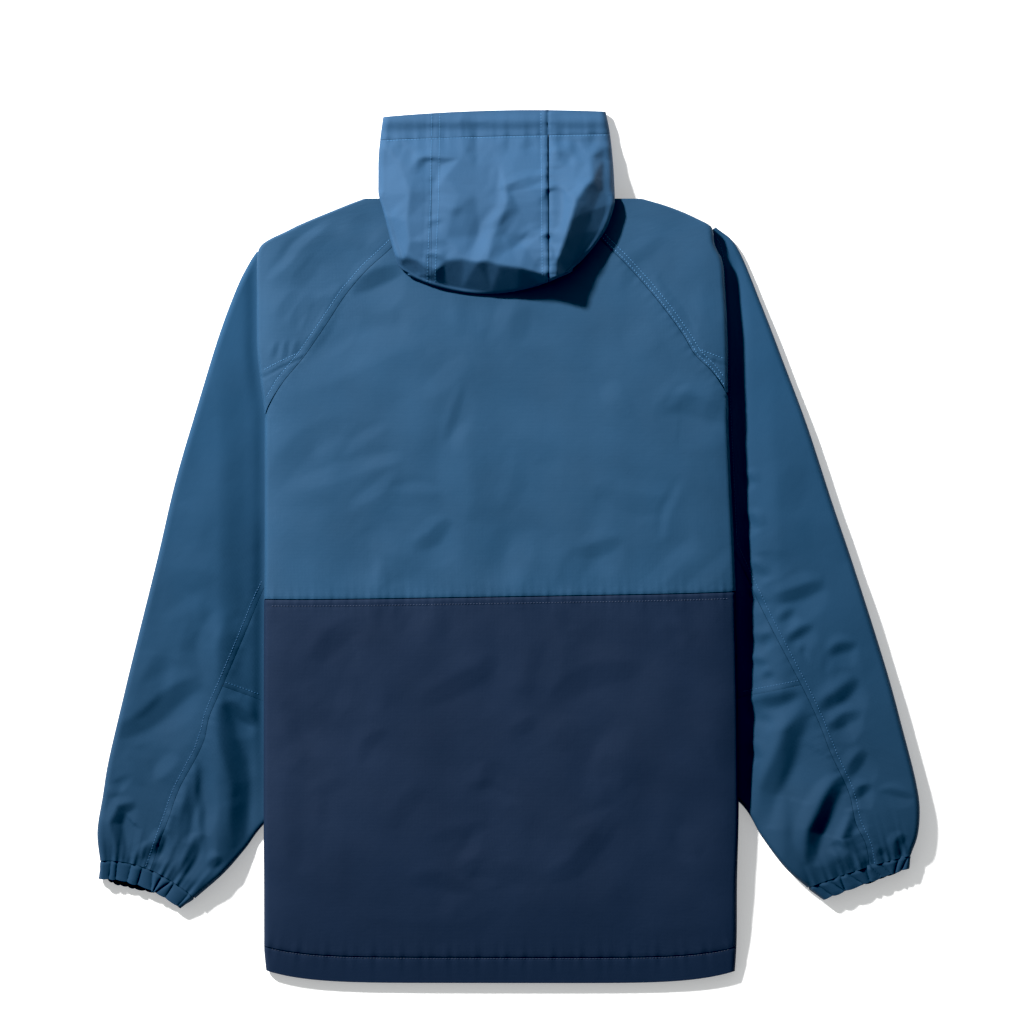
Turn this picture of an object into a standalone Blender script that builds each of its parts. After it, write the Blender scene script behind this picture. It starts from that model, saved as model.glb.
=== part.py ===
"""Hooded anorak pullover, laid flat on a table with its back up and its sleeves tucked beside it.

Every sewn piece is a closed wall of cloth. Sizes are in millimetres in the garment's own frame:
x from the centre back seam line (the wearer's left is -x), y up from the hem, z up from the table.
"""
import bmesh
import bpy
import numpy as np

CLOTH = 1.5                    # wall of doubled coated nylon
SEAM = 0.3                     # gap between two pieces at a seam
FOLD_RADIUS = 9.0              # roll of the cloth at a side fold
CENTRE_X, CENTRE_Y = 8.5, 436.31    # middle of the laid garment
SHARP_EDGE = 50.0              # degrees past which two faces meet at a hard edge

PRESSED = 9.3                  # thickness of a sleeve under the body
LIFT = PRESSED + SEAM          # height of the body where it lies on a sleeve
LIFT_X = (100.0, 148.0)        # over which the body's lower side climbs on to a sleeve, |x|
LIFT_Y = (105.0, 150.0)        # and y, from the hem up
SETTLE_Y = (757.0, 782.0)      # over which it sinks again towards the neck
SLEEVE_RISE = (18.0, 52.0)     # way out from the body's edge over which a sleeve fills out

HEM_Y, HEM_SEAM_Y, COLOUR_SEAM_Y = 0.0, 26.0, 386.5
ELBOW_SECTION = 5              # row of a sleeve table at which the under-sleeve is joined
ELBOW_GAP = 0.003              # half a seam, as a share of the step between two sections
NECK_Y = 784.0                 # neck seam, under the hood

# Rows of the body: y at the centre, at the left fold and at the right fold
BODY_ROWS = {
    "hem":         (HEM_Y, 12.5, 12.0),
    "hem_seam":    (HEM_SEAM_Y, 37.0, 36.4),
    "hip":         (62.0, 67.0, 67.0),
    "colour_seam": (COLOUR_SEAM_Y, 384.0, 391.6),
}
LOWER_ROWS_Y = (105, 130, 155, 195, 240, 290, 340)
UPPER_ROWS_Y = (425, 465, 505, 540, 563.5, 572, 585, 598, 615, 635, 657, 680, 702, 720, 734,
                748, 762, 774, NECK_Y - SEAM)

# Side folds and shoulder line of the body: y, x of the left fold, x of the right fold
BODY_SIDES = (
    (0, -234, 235), (26, -236, 236.5), (100, -236, 237), (183, -236, 238.5), (385, -235.5, 235.3),
    (426, -235, 234), (523, -235, 229.6), (564, -235, 228), (580, -236.5, 228), (603, -239.5, 227.5),
    (642, -243, 227.3), (696, -243, 226.5), (725, -242, 223), (732, -240.5, 220.5), (738, -235, 219.5),
    (744, -226, 218), (750, -215, 215), (757, -202, 210), (764, -186, 197), (771, -169, 182),
    (778, -152, 163), (784, -136, 142),
)
# Height of the top layer: y, z
BODY_HEIGHT = ((0, 9), (26, 14), (60, 19), (120, 25), (200, 28), (386, 31), (560, 33), (700, 31),
               (734, 28), (760, 25), (784, 23))
SIDE_SINK = 0.10               # share of its height that the top layer loses at the sides
HALF_WIDTH = 234.8             # of the body at the colour seam
BODY_BOW = 6.0                 # how squarely the rows of the hem turn at the sides

# Raglan seams on the back: y, x
RAGLAN_LEFT = ((563.7, -235), (576.2, -230.5), (599.4, -217.1), (624.4, -196.6), (656.6, -174.3),
               (689, -153), (712, -133.2), (735, -108.2), (758, -90), (784, -73))
RAGLAN_RIGHT = ((585, 228), (597.6, 221), (612, 210.4), (628, 194.3), (646, 183.6), (671, 165.7),
                (697.6, 144.3), (721, 122.9), (740.5, 103), (761, 86), (784, 70))

ARMPIT_LEFT, ARMPIT_RIGHT = 564.0, 585.5
ARMPIT_EASE = 1.0              # more room at the raglan seam where it turns round the side fold
EASE_REACH = 40.0              # height over which that room runs out
SHOULDER_START = 5.0           # first row of a sleeve head, above the armpit
RAGLANS = {"left": (RAGLAN_LEFT, ARMPIT_LEFT), "right": (RAGLAN_RIGHT, ARMPIT_RIGHT)}

# Sections of the sleeves, cuff to shoulder: outer x, outer y, inner x, inner y, height, seam (share of
# the way from the outer fold at which the back seam runs), bow of the row
SLEEVE_LEFT = (
    (-400.0, 122.6, -304.5, 85.0, 15, 0.53, 11),
    (-402.6, 149.4, -276.5, 109.5, 19, 0.48, 8),
    (-397.0, 188.0, -255.0, 134.0, 20, 0.47, 4),
    (-391.3, 223.0, -235.0, 160.0, 19, 0.49, 0),
    (-378.0, 280.0, -180.0, 215.0, 18, 0.41, 0),
    (-366.0, 330.0, -180.0, 261.0, 18, 0.47, 0),
    (-343.0, 423.0, -181.0, 363.0, 16, 0.605, 0),
    (-324.5, 502.2, -184.0, 453.0, 15, 0.72, 0),
    (-303.0, 576.0, -192.0, 533.0, 13, 0.8, 0),
    (-281.0, 648.0, -202.0, 611.0, 11.5, 0.8, 0),
    (-263.0, 696.0, -214.0, 673.0, 10.5, 0.8, 0),
    (-251.0, 720.0, -225.0, 709.0, 9.3, 0.8, 0),
    (-243.5, 731.5, -231.0, 727.0, 9.3, 0.8, 0),
)
SLEEVE_RIGHT = (
    (410.9, 128.0, 307.0, 95.5, 15, 0.4, 2),
    (417.6, 148.2, 284.5, 116.0, 19, 0.39, 2),
    (419.6, 172.0, 262.0, 146.0, 20, 0.41, 0),
    (415.5, 203.0, 240.0, 180.0, 19, 0.39, 0),
    (401.5, 258.0, 190.0, 215.0, 18, 0.36, 0),
    (385.6, 316.0, 188.0, 275.0, 18, 0.43, 0),
    (354.3, 415.0, 184.0, 381.0, 16, 0.6, 0),
    (332.4, 480.0, 184.0, 447.0, 15, 0.72, 0),
    (307.0, 558.0, 190.0, 531.0, 13, 0.8, 0),
    (283.5, 621.0, 198.0, 598.0, 11.5, 0.8, 0),
    (262.5, 676.0, 208.0, 661.0, 10.5, 0.8, 0),
    (246.0, 716.0, 218.0, 706.0, 9.3, 0.8, 0),
    (232.5, 740.0, 217.0, 734.0, 9.3, 0.8, 0),
)
SLEEVES = {"left": SLEEVE_LEFT, "right": SLEEVE_RIGHT}
SLEEVE_END = (9.0, 11.0)       # places between which a sleeve's seams open a little
SLEEVE_END_EASE = 0.4
SLEEVE_PLACES = (0.0, 0.35, 0.7, 1.0, 1.5, 2.0, 2.5, 3.0, 3.5, 4.0, 4.5, 5.0, 5.5, 6.0, 7.0, 8.0, 9.0,
                 10.0, 11.0, 12.0)
# Open ends of the cuffs: outer x, outer y, inner x, inner y, height, bow
CUFF_ENDS = {"left": (-401.3, 104.0, -319.5, 74.5, 13, 8), "right": (409.5, 115.0, 323.0, 83.0, 13, 1)}
CUFF_GATHERS = 20              # gathers round each elastic cuff
GATHER_DEPTH = 1.1
GATHER_STEPS = 4               # steps round each gather
GATHER_START = (2.0, 6.0)      # height over which the gathers rise from the flat underside
CUFF_GAP = 0.6                 # the cuff's first gathers lean towards the sleeve's end

# Rows of the hood, face opening to crown: left x, left y, right x, right y, y at the middle, height
HOOD_ROWS = (
    (-117.0, 865.8, 105.8, 871.2, 872.2, 13),
    (-120.0, 843.0, 110.0, 849.0, 846.5, 17),
    (-121.7, 818.0, 113.0, 820.0, 819.0, 26),
    (-121.7, 796.0, 114.3, 796.0, 796.0, 36),
    (-120.5, 784.6, 114.5, 784.6, 784.6, 40),
    (-116.0, 769.0, 113.5, 774.0, 757.0, 47),
    (-110.0, 745.0, 106.0, 753.0, 731.0, 52),
    (-105.0, 727.0, 95.0, 737.0, 710.0, 51),
    (-100.5, 715.0, 83.0, 723.0, 698.0, 46),
    (-92.0, 709.5, 72.0, 712.5, 690.5, 0),
)
CASING_ROW, POUCH_ROW = 1, 4
HOOD_SEAM_LEFT, HOOD_SEAM_RIGHT, THROAT_SEAM = -68.0, 48.5, -3.0   # x of the hood's seams
HOOD_CLEAR = 0.4               # between the hood and the back that it lies on
CROWN_FOLD = 4.6               # thickness of the hood at its bottom fold
HOOD_SIDE_SINK = 0.3
HOOD_PLACES = (1.0, 1.5, 2.0, 3.0, 4.0, 4.5, 5.0, 5.5, 6.0, 7.0, 8.0, 9.0)
THROAT_PLACES = 4              # rows of HOOD_PLACES that lie above the neck

# Length of cloth that rounds a fold, which takes the closest steps
BODY_ROLL, SLEEVE_ROLL, HOOD_ROLL, CROWN_ROLL = 22.0, 12.0, 9.0, 3.0
BODY_STEPS = {"roll": 4, "back": 6, "front": 5}
SHOULDER_STEPS = (4, 4, 4, 4)
SLEEVE_STEPS = {"top": 5, "roll": 2, "under": 4}
HOOD_STEPS = {"top": 4, "roll": 5, "under": 4, "centre": 6}
CASING_STEPS = (2, 5, 5, 2, 2, 4, 4, 2)
CROWN_TURN = (45.0, 90.0, 135.0)   # degrees round the bottom fold at which it has a row

# Main folds on the upper side: x, y at both ends, half width, depth (a ridge is negative)
SLEEVE_FOLDS = (
    (-346, 120, -330, 168, 7, 3.5), (-324, 104, -311, 122, 7, 3.0), (-311, 122, -270, 150, 7, 3.5),
    (-270, 150, -270, 200, 8, 3.0), (-386, 249, -350, 277, 8, 2.5), (-350, 277, -296, 303, 9, 2.0),
    (-327, 336, -370, 263, 9, 2.0), (-365, 176, -382, 160, 7, 2.5), (-382, 160, -374, 133, 7, 2.5),
    (271, 383, 326, 398, 8, 2.5), (346, 188, 317, 161, 8, 3.5), (317, 161, 313, 112, 7, 3.5),
    (309, 269, 266, 222, 9, 2.5), (321, 272, 356, 302, 9, 2.5), (351, 172, 346, 148, 7, 2.5),
    (346, 148, 367, 118, 7, 3.0), (404, 148, 398, 130, 6, 2.5),
)
BODY_FOLDS = (
    (-153, 640, -200, 700, 14, 1.5), (169, 562, 214, 563, 10, 2.0), (-180, 337, -137, 357, 16, -1.5),
    (-75, 279, -1, 321, 16, 1.5), (54, 281, 139, 316, 16, 1.5), (49, 100, 111, 149, 16, 1.5),
)
HOOD_FOLDS = (
    (-1, 775, 44, 805, 8, 3.0), (20, 738, 44, 756, 8, 2.5), (3, 791, -17, 724, 9, -2.0),
    (85, 803, 83, 732, 9, 3.0),
)

COLOURS = {"blue": (0.040, 0.115, 0.225), "navy": (0.013, 0.026, 0.062)}


def ramp(value, start, end):
    """Rises smoothly from 0 at start to 1 at end."""
    share = np.clip((value - start) / (end - start), 0.0, 1.0)
    return share * share * (3.0 - 2.0 * share)


def smooth(rows, column, at):
    """Value of a table's column at a place in its first column, along a curve without overshoot."""
    table = np.array(rows, float)
    table = table[np.argsort(table[:, 0])]
    place, value = table[:, 0], table[:, column]
    step = np.diff(place)
    slope = np.diff(value) / step
    tangent = np.concatenate(([slope[0]], (slope[:-1] + slope[1:]) / 2.0, [slope[-1]]))
    tangent[1:-1][slope[:-1] * slope[1:] <= 0.0] = 0.0
    at = np.clip(np.asarray(at, float), place[0], place[-1])
    cell = np.clip(np.searchsorted(place, at, side="right") - 1, 0, len(step) - 1)
    share = (at - place[cell]) / step[cell]
    rest = 1.0 - share
    return ((1.0 + 2.0 * share) * rest ** 2 * value[cell] + share * rest ** 2 * step[cell] * tangent[cell]
            + share ** 2 * (3.0 - 2.0 * share) * value[cell + 1]
            - share ** 2 * rest * step[cell] * tangent[cell + 1])


def folds(table, x, y):
    """Depth of a table's folds at a point of the upper side."""
    depth = np.zeros(np.broadcast(x, y).shape)
    for x_from, y_from, x_to, y_to, half_width, most in table:
        along = np.array((x_to - x_from, y_to - y_from), float)
        share = ((x - x_from) * along[0] + (y - y_from) * along[1]) / along.dot(along)
        share = np.clip(share, 0.0, 1.0)
        off = np.hypot(x - x_from - share * along[0], y - y_from - share * along[1])
        depth = depth + most * np.exp(-(off / half_width) ** 2)
    return depth


def body_left(y):
    return smooth(BODY_SIDES, 1, y)


def body_right(y):
    return smooth(BODY_SIDES, 2, y)


def body_under(x, y):
    """Lower side of the body: the table in the middle, the sleeves' upper side at the edges."""
    over_sleeve = ramp(np.abs(x), *LIFT_X) * ramp(y, *LIFT_Y) * (1.0 - ramp(y, *SETTLE_Y))
    return LIFT * over_sleeve


def body_top(x, y):
    height = smooth(BODY_HEIGHT, 1, y)
    return height * (1.0 - SIDE_SINK * (x / HALF_WIDTH) ** 2) - folds(BODY_FOLDS, x, y)


class Ring:
    """Closed outline of a flattened tube: from its left fold over the top to its right fold, and back.

    left and right are the fold's ends (x, y), middle_y is the row's y half-way between them, and top
    and under give the height of the two layers at (x, y).
    """
    ARC, FLAT = 12, 60

    def __init__(self, left, right, middle_y, top, under, bow_power=2.0, radius=FOLD_RADIUS):
        left, right = np.array(left, float), np.array(right, float)
        width = np.hypot(*(right - left))
        bow = middle_y - (left[1] + right[1]) / 2.0

        def at(share):
            point = left[None, :] + (right - left)[None, :] * share[:, None]
            point[:, 1] += bow * (1.0 - np.abs(2.0 * share - 1.0) ** bow_power)
            return point

        def layers(share):
            point = at(share)
            return top(point[:, 0], point[:, 1]), under(point[:, 0], point[:, 1])

        rolls = []
        for end in (0.0, 1.0):
            high, low = (level[0] for level in layers(np.array([abs(end - radius / width)])))
            rolls.append(min(radius, (high - low) / 2.0) / width)
        left_roll, right_roll = rolls
        angle = np.linspace(0.0, np.pi / 2.0, self.ARC + 1)
        flat = np.linspace(left_roll, 1.0 - right_roll, self.FLAT + 1)
        flat_top, flat_under = layers(flat)
        middles = (flat_top[0] + flat_under[0]) / 2.0, (flat_top[-1] + flat_under[-1]) / 2.0
        halves = (flat_top[0] - flat_under[0]) / 2.0, (flat_top[-1] - flat_under[-1]) / 2.0
        left_share = left_roll * (1.0 - np.cos(angle))
        right_share = 1.0 - right_roll * (1.0 - np.cos(angle[::-1]))
        share = np.concatenate((left_share[:-1], flat, right_share[1:]))
        high = np.concatenate((middles[0] + halves[0] * np.sin(angle[:-1]), flat_top,
                               middles[1] + halves[1] * np.sin(angle[::-1][1:])))
        low = np.concatenate((middles[0] - halves[0] * np.sin(angle[:-1]), flat_under,
                              middles[1] - halves[1] * np.sin(angle[::-1][1:])))
        plan = at(share)
        upper = np.column_stack((plan, high))
        lower = np.column_stack((plan, low))[::-1]
        self.points = np.vstack((upper, lower[1:]))
        self.length = np.concatenate(([0.0], np.cumsum(np.linalg.norm(np.diff(self.points, axis=0), axis=1))))
        self.share, self.tops = share, len(share)
        self.right = self.length[self.tops - 1]
        self.round = self.length[-1]

    def over(self, share):
        """Length along the ring at a share of the way across the top layer."""
        return float(np.interp(share, self.share, self.length[:self.tops]))

    def beneath(self, share):
        """Length along the ring at a share of the way across the under layer."""
        return float(np.interp(1.0 - share, (1.0 - self.share)[::-1], self.length[self.tops - 1:]))

    def stretch(self, stops, counts):
        """Points between lengths along the ring, with a count of steps between each two stops.

        Each row holds a point and the way along the ring there.
        """
        places = [np.linspace(a, b, n + 1)[:-1] for a, b, n in zip(stops, stops[1:], counts)]
        places = np.concatenate(places + [stops[-1:]])
        return np.hstack((self.at(places), self.at(places + 0.5) - self.at(places - 0.5)))

    def at(self, places):
        places = np.mod(places, self.round)
        return np.column_stack([np.interp(places, self.length, self.points[:, k]) for k in range(3)])


def material(name):
    made = bpy.data.materials.get(name)
    if made is None:
        made = bpy.data.materials.new(name)
        made.use_nodes = True
        shader = made.node_tree.nodes["Principled BSDF"]
        shader.inputs["Base Color"].default_value = (*COLOURS[name], 1.0)
        shader.inputs["Roughness"].default_value = 0.55
        shader.inputs["Metallic"].default_value = 0.0
    return made


def wall(name, colour, rows, skip=(), closed=False):
    """A closed wall of cloth inside a grid of outer points; skip holds cells (row, column) left open."""
    grid = np.array(rows, float)
    count, width = grid.shape[:2]
    outer, across = grid[..., :3], grid[..., 3:]
    along = np.gradient(outer, axis=0)
    normal = np.cross(across, along)
    normal /= np.linalg.norm(normal, axis=2, keepdims=True)
    inner = outer - CLOTH * normal
    points = np.concatenate((outer.reshape(-1, 3), inner.reshape(-1, 3)))
    points = (points - np.array((CENTRE_X, CENTRE_Y, 0.0))) / 1000.0
    columns = width if closed else width - 1
    used = {(r, c) for r in range(count - 1) for c in range(columns)} - set(skip)
    faces = []
    inside = count * width

    def corner(r, c):
        return r * width + c % width

    for r, c in sorted(used):
        cell = corner(r, c), corner(r, c + 1), corner(r + 1, c + 1), corner(r + 1, c)
        faces.append(cell)
        faces.append(tuple(i + inside for i in cell[::-1]))
        sides = ((r - 1, c, 0, 1), (r, c + 1, 1, 2), (r + 1, c, 2, 3), (r, c - 1, 3, 0))
        for near_r, near_c, a, b in sides:
            near = (near_r, near_c % columns if closed else near_c)
            if near not in used:
                faces.append((cell[b], cell[a], cell[a] + inside, cell[b] + inside))
    mesh = bpy.data.meshes.new(name)
    mesh.from_pydata([tuple(p) for p in points], [], faces)
    loose = set(range(len(points))) - {i for face in faces for i in face}
    if loose:
        edit = bmesh.new()
        edit.from_mesh(mesh)
        edit.verts.ensure_lookup_table()
        bmesh.ops.delete(edit, geom=[edit.verts[i] for i in loose], context="VERTS")
        edit.to_mesh(mesh)
        edit.free()
    mesh.shade_smooth()
    mesh.set_sharp_from_angle(angle=np.radians(SHARP_EDGE))
    mesh.materials.append(material(colour))
    piece = bpy.data.objects.new(name, mesh)
    bpy.context.scene.collection.objects.link(piece)
    return piece


def body_ring(y_middle, y_left=None, y_right=None):
    y_left = y_middle if y_left is None else y_left
    y_right = y_middle if y_right is None else y_right
    return Ring((body_left(y_middle), y_left), (body_right(y_middle), y_right), y_middle,
                body_top, body_under, bow_power=BODY_BOW)


def hem_rows():
    edge, seam = np.array(BODY_ROWS["hem"]), np.array(BODY_ROWS["hem_seam"]) - SEAM / 2.0
    return [tuple(edge + (seam - edge) * share) for share in (0.0, 0.5, 1.0)]


def lower_rows():
    hem = np.array(BODY_ROWS["hem_seam"]) + SEAM / 2.0
    seam = np.array(BODY_ROWS["colour_seam"]) - SEAM / 2.0
    return [tuple(hem), BODY_ROWS["hip"]] + [(y, y, y) for y in LOWER_ROWS_Y] + [tuple(seam)]


def upper_rows():
    seam = np.array(BODY_ROWS["colour_seam"]) + SEAM / 2.0
    return [tuple(seam)] + [(y, y, y) for y in UPPER_ROWS_Y]


def share_at(ring, x):
    """Share of the way across a ring at which it has a given x."""
    left, right = ring.points[0, 0], ring.points[ring.tops - 1, 0]
    return (x - left) / (right - left)


def raglan(ring, y, side):
    """Share of the way across the back at which the raglan seam runs, or the side fold below it."""
    seam, armpit = RAGLANS[side]
    if y <= armpit:
        return 0.0 if side == "left" else 1.0
    return share_at(ring, float(smooth(seam, 1, y)))


def panel_stops(start, end):
    """Stops of a body panel: dense steps near both ends, wide steps between."""
    return [start, start + BODY_ROLL, (start + end) / 2.0, end - BODY_ROLL, end]


def body_panel(name, colour, rows, layer):
    grid = []
    for y_middle, y_left, y_right in rows:
        ring = body_ring(y_middle, y_left, y_right)
        left, right = raglan(ring, y_middle, "left"), raglan(ring, y_middle, "right")
        if layer == "back":
            start, end = ring.over(left) + SEAM / 2.0, ring.over(right) - SEAM / 2.0
            flat = BODY_STEPS["back"]
        else:
            start, end = ring.beneath(right) + SEAM / 2.0, ring.beneath(left) - SEAM / 2.0
            flat = BODY_STEPS["front"]
        counts = (BODY_STEPS["roll"], flat, flat, BODY_STEPS["roll"])
        grid.append(ring.stretch(panel_stops(start, end), counts))
    return wall(name, colour, grid)


def shoulder(side):
    """Raglan sleeve head: from the back raglan seam round the shoulder fold to the front one."""
    armpit = RAGLANS[side][1]
    grid = []
    for y in UPPER_ROWS_Y:
        if y < armpit + SHOULDER_START:
            continue
        ring = body_ring(y)
        share = raglan(ring, y, side)
        ease = SEAM / 2.0 + ARMPIT_EASE * (1.0 - float(ramp(y, armpit, armpit + EASE_REACH)))
        if side == "left":
            over, beneath, fold = ring.over(share), ring.beneath(share) - ring.round, 0.0
            stops = [beneath + ease, fold, over - ease]
        else:
            over, beneath, fold = ring.over(share), ring.beneath(share), ring.right
            stops = [over + ease, fold, beneath - ease]
        near = min(BODY_ROLL, (over if side == "left" else ring.right - over) / 2.0)
        stops = [stops[0], fold - near, fold, fold + near, stops[2]]
        grid.append(ring.stretch(stops, SHOULDER_STEPS))
    return wall("shoulder_" + side, "blue", grid)


def sleeve_top(side, height):
    """Upper side of a sleeve: full height outside the body, pressed flat where the body lies on it."""
    def level(x, y):
        outside = body_left(y) - x if side == "left" else x - body_right(y)
        rise = ramp(outside, *SLEEVE_RISE)
        return PRESSED + (height - PRESSED) * rise \
            - folds(SLEEVE_FOLDS, x, y) * ramp(outside, 4.0, 16.0)
    return level


def table_top(x, y):
    return np.zeros(np.broadcast(x, y).shape)


def row_between(table, place):
    """A table's row at a row number, which may lie between two of its rows."""
    numbered = np.column_stack((np.arange(len(table)), np.array(table, float)))
    return [float(smooth(numbered, column, place)) for column in range(1, numbered.shape[1])]


def sleeve_ring(side, place):
    x_out, y_out, x_in, y_in, height, seam, bow = row_between(SLEEVES[side], place)
    left, right = ((x_out, y_out), (x_in, y_in))
    if side == "right":
        left, right = right, left
        seam = 1.0 - seam
    ring = Ring(left, right, (y_out + y_in) / 2.0 + bow, sleeve_top(side, height), table_top)
    return ring, seam


def sleeve_panel(side, name, part, places):
    """Outer panel, round the outer fold, or under panel, round the inner one, between both seams."""
    grid = []
    at_left = (side == "left") == (part == "outer")
    top, roll, under = (SLEEVE_STEPS[k] for k in ("top", "roll", "under"))
    for place in places:
        ring, seam = sleeve_ring(side, place)
        over, beneath = ring.over(seam), ring.beneath(seam)
        if at_left:
            first, fold, last, counts = beneath - ring.round, 0.0, over, (under, roll, roll, top)
        else:
            first, fold, last, counts = over, ring.right, beneath, (top, roll, roll, under)
        ease = SEAM / 2.0 + SLEEVE_END_EASE * float(ramp(place, *SLEEVE_END))
        first, last = first + ease, last - ease
        before = min(SLEEVE_ROLL, (fold - first) / 2.0)
        after = min(SLEEVE_ROLL, (last - fold) / 2.0)
        grid.append(ring.stretch([first, fold - before, fold, fold + after, last], counts))
    return wall(name, "blue", grid)


def cuff(side):
    """Elastic cuff: a tube whose wall waves in gathers on its upper side."""
    first = SLEEVES[side][0]
    start = np.array(first[:5] + first[6:], float)
    end = np.array(CUFF_ENDS[side], float)
    away = (end - start)[:4] / np.linalg.norm((end - start)[:2])
    start[:4] += away * CUFF_GAP
    grid = []
    steps = CUFF_GATHERS * GATHER_STEPS
    for share in (0.0, 0.5, 1.0):
        x_out, y_out, x_in, y_in, height, bow = start + (end - start) * share
        ends = ((x_out, y_out), (x_in, y_in))
        left, right = ends if side == "left" else ends[::-1]
        ring = Ring(left, right, (y_out + y_in) / 2.0 + bow, lambda x, y, h=height: h + 0.0 * x, table_top)
        places = np.linspace(0.0, ring.round, steps + 1)
        points = ring.at(places[:-1])
        tangent = np.roll(points, -1, axis=0) - np.roll(points, 1, axis=0)
        row_way = np.array((away[0], away[1], 0.0))
        outward = np.cross(tangent, row_way)
        outward /= np.linalg.norm(outward, axis=1, keepdims=True)
        if outward[np.argmax(points[:, 2]), 2] < 0.0:
            outward = -outward
        wave = np.cos(2.0 * np.pi * np.arange(steps) / GATHER_STEPS) - 1.0
        points = points + outward * (wave * GATHER_DEPTH * ramp(points[:, 2], *GATHER_START))[:, None]
        grid.append(np.hstack((points, np.roll(points, -1, axis=0) - np.roll(points, 1, axis=0))))
    return wall("cuff_" + side, "blue", grid[::-1], closed=True)


def hood_under(row):
    if row < POUCH_ROW:
        return table_top
    return lambda x, y: body_top(x, y) + HOOD_CLEAR


def hood_ring(row):
    """Ring of the hood at a row number, which may lie between two rows of the table."""
    x_l, y_l, x_r, y_r, y_mid, height = row_between(HOOD_ROWS, row)
    under = hood_under(row)
    last = len(HOOD_ROWS) - 1

    def top(x, y):
        if row == last:
            return under(x, y) + CROWN_FOLD
        across = (x - (x_l + x_r) / 2.0) / ((x_r - x_l) / 2.0)
        low = under(x, y)
        return low + (height - low) * (1.0 - HOOD_SIDE_SINK * across ** 2) \
            - folds(HOOD_FOLDS, x, y)

    return Ring((x_l, y_l), (x_r, y_r), y_mid, top, under)


def hood_side(side):
    """Side panel of the hood: top seam, side fold, then the pouch's lower layer and the throat."""
    grid = []
    for number, row in enumerate(HOOD_PLACES):
        ring = hood_ring(row)
        throat = number < THROAT_PLACES
        x_top = HOOD_SEAM_LEFT if side == "left" else HOOD_SEAM_RIGHT
        x_under = THROAT_SEAM if throat else x_top
        over, beneath = ring.over(share_at(ring, x_top)), ring.beneath(share_at(ring, x_under))
        roll = HOOD_ROLL if row < HOOD_PLACES[-1] else CROWN_ROLL
        if side == "left":
            stops = [beneath - ring.round + SEAM / 2.0, -roll, roll, over - SEAM / 2.0]
            counts = (HOOD_STEPS["under"], HOOD_STEPS["roll"], HOOD_STEPS["top"])
        else:
            stops = [over + SEAM / 2.0, ring.right - roll, ring.right + roll, beneath - SEAM / 2.0]
            counts = (HOOD_STEPS["top"], HOOD_STEPS["roll"], HOOD_STEPS["under"])
        points = ring.stretch(stops, counts)
        if row == CASING_ROW:
            points[:, 1] -= SEAM
        if number == THROAT_PLACES - 1:       # the throat reaches the front neck seam on the table
            steps = HOOD_STEPS["under"]
            edge = slice(0, steps) if side == "left" else slice(-steps, None)
            points[edge, 1] = NECK_Y + SEAM / 2.0
        grid.append(points)
    across = sum(counts)
    under_cells = range(HOOD_STEPS["under"]) if side == "left" else range(across - HOOD_STEPS["under"], across)
    neck_row = len(HOOD_PLACES) - 1 - THROAT_PLACES
    skip = [(neck_row, c) for c in under_cells]
    return wall("hood_side_" + side, "blue", grid[::-1], skip=skip)


TURNED = np.array((1.0, 1.0, 1.0, -1.0, -1.0, -1.0))   # a row read the other way round


def hood_centre():
    """Middle panel: face opening, over the crown, round the bottom fold and back to the neck."""
    upper, lower = [], []
    for row in HOOD_PLACES:
        ring = hood_ring(row)
        left, right = (share_at(ring, x) for x in (HOOD_SEAM_LEFT, HOOD_SEAM_RIGHT))
        stops = [ring.over(left) + SEAM / 2.0, ring.over(right) - SEAM / 2.0]
        upper.append(ring.stretch(stops, (HOOD_STEPS["centre"],)))
        if row >= POUCH_ROW:
            stops = [ring.beneath(right) + SEAM / 2.0, ring.beneath(left) - SEAM / 2.0]
            lower.append(ring.stretch(stops, (HOOD_STEPS["centre"],))[::-1] * TURNED)
    upper[0][:, 1] -= SEAM
    turn = []
    middle = (upper[-1] + lower[-1]) / 2.0
    half = (upper[-1][:, 2] - lower[-1][:, 2]) / 2.0
    for angle in np.radians(CROWN_TURN):
        row = middle.copy()
        row[:, 1] -= half * np.sin(angle)
        row[:, 2] += half * np.cos(angle)
        turn.append(row)
    return wall("hood_centre", "blue", (upper + turn + lower[::-1])[::-1])


def hood_casing():
    """Drawcord casing, turned round the whole face opening."""
    grid = []
    for row in (0.0, 0.5, float(CASING_ROW)):
        ring = hood_ring(row)
        stops = [0.0, HOOD_ROLL, ring.right / 2.0, ring.right - HOOD_ROLL, ring.right, ring.right + HOOD_ROLL,
                 (ring.right + ring.round) / 2.0, ring.round - HOOD_ROLL, ring.round]
        grid.append(ring.stretch(stops, CASING_STEPS)[:-1])
    return wall("hood_casing", "blue", grid[::-1], closed=True)


def clear_scene():
    for item in list(bpy.data.objects):
        bpy.data.objects.remove(item, do_unlink=True)


def build_body():
    for layer in ("back", "front"):
        body_panel("hem_" + layer, "navy", hem_rows(), layer)
        body_panel(layer + "_lower", "navy", lower_rows(), layer)
        body_panel(layer + "_upper", "blue", upper_rows(), layer)


def build_sleeve(side):
    shoulder(side)
    sleeve_panel(side, "sleeve_" + side, "outer", SLEEVE_PLACES)
    elbow = float(ELBOW_SECTION)
    lower = [p for p in SLEEVE_PLACES if p < elbow] + [elbow - ELBOW_GAP]
    upper = [elbow + ELBOW_GAP] + [p for p in SLEEVE_PLACES if p > elbow]
    sleeve_panel(side, "under_lower_" + side, "under", lower)
    sleeve_panel(side, "under_upper_" + side, "under", upper)
    cuff(side)


def build_hood():
    hood_casing()
    hood_centre()
    hood_side("left")
    hood_side("right")


clear_scene()
build_body()
for side in ("left", "right"):
    build_sleeve(side)
build_hood()
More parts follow.
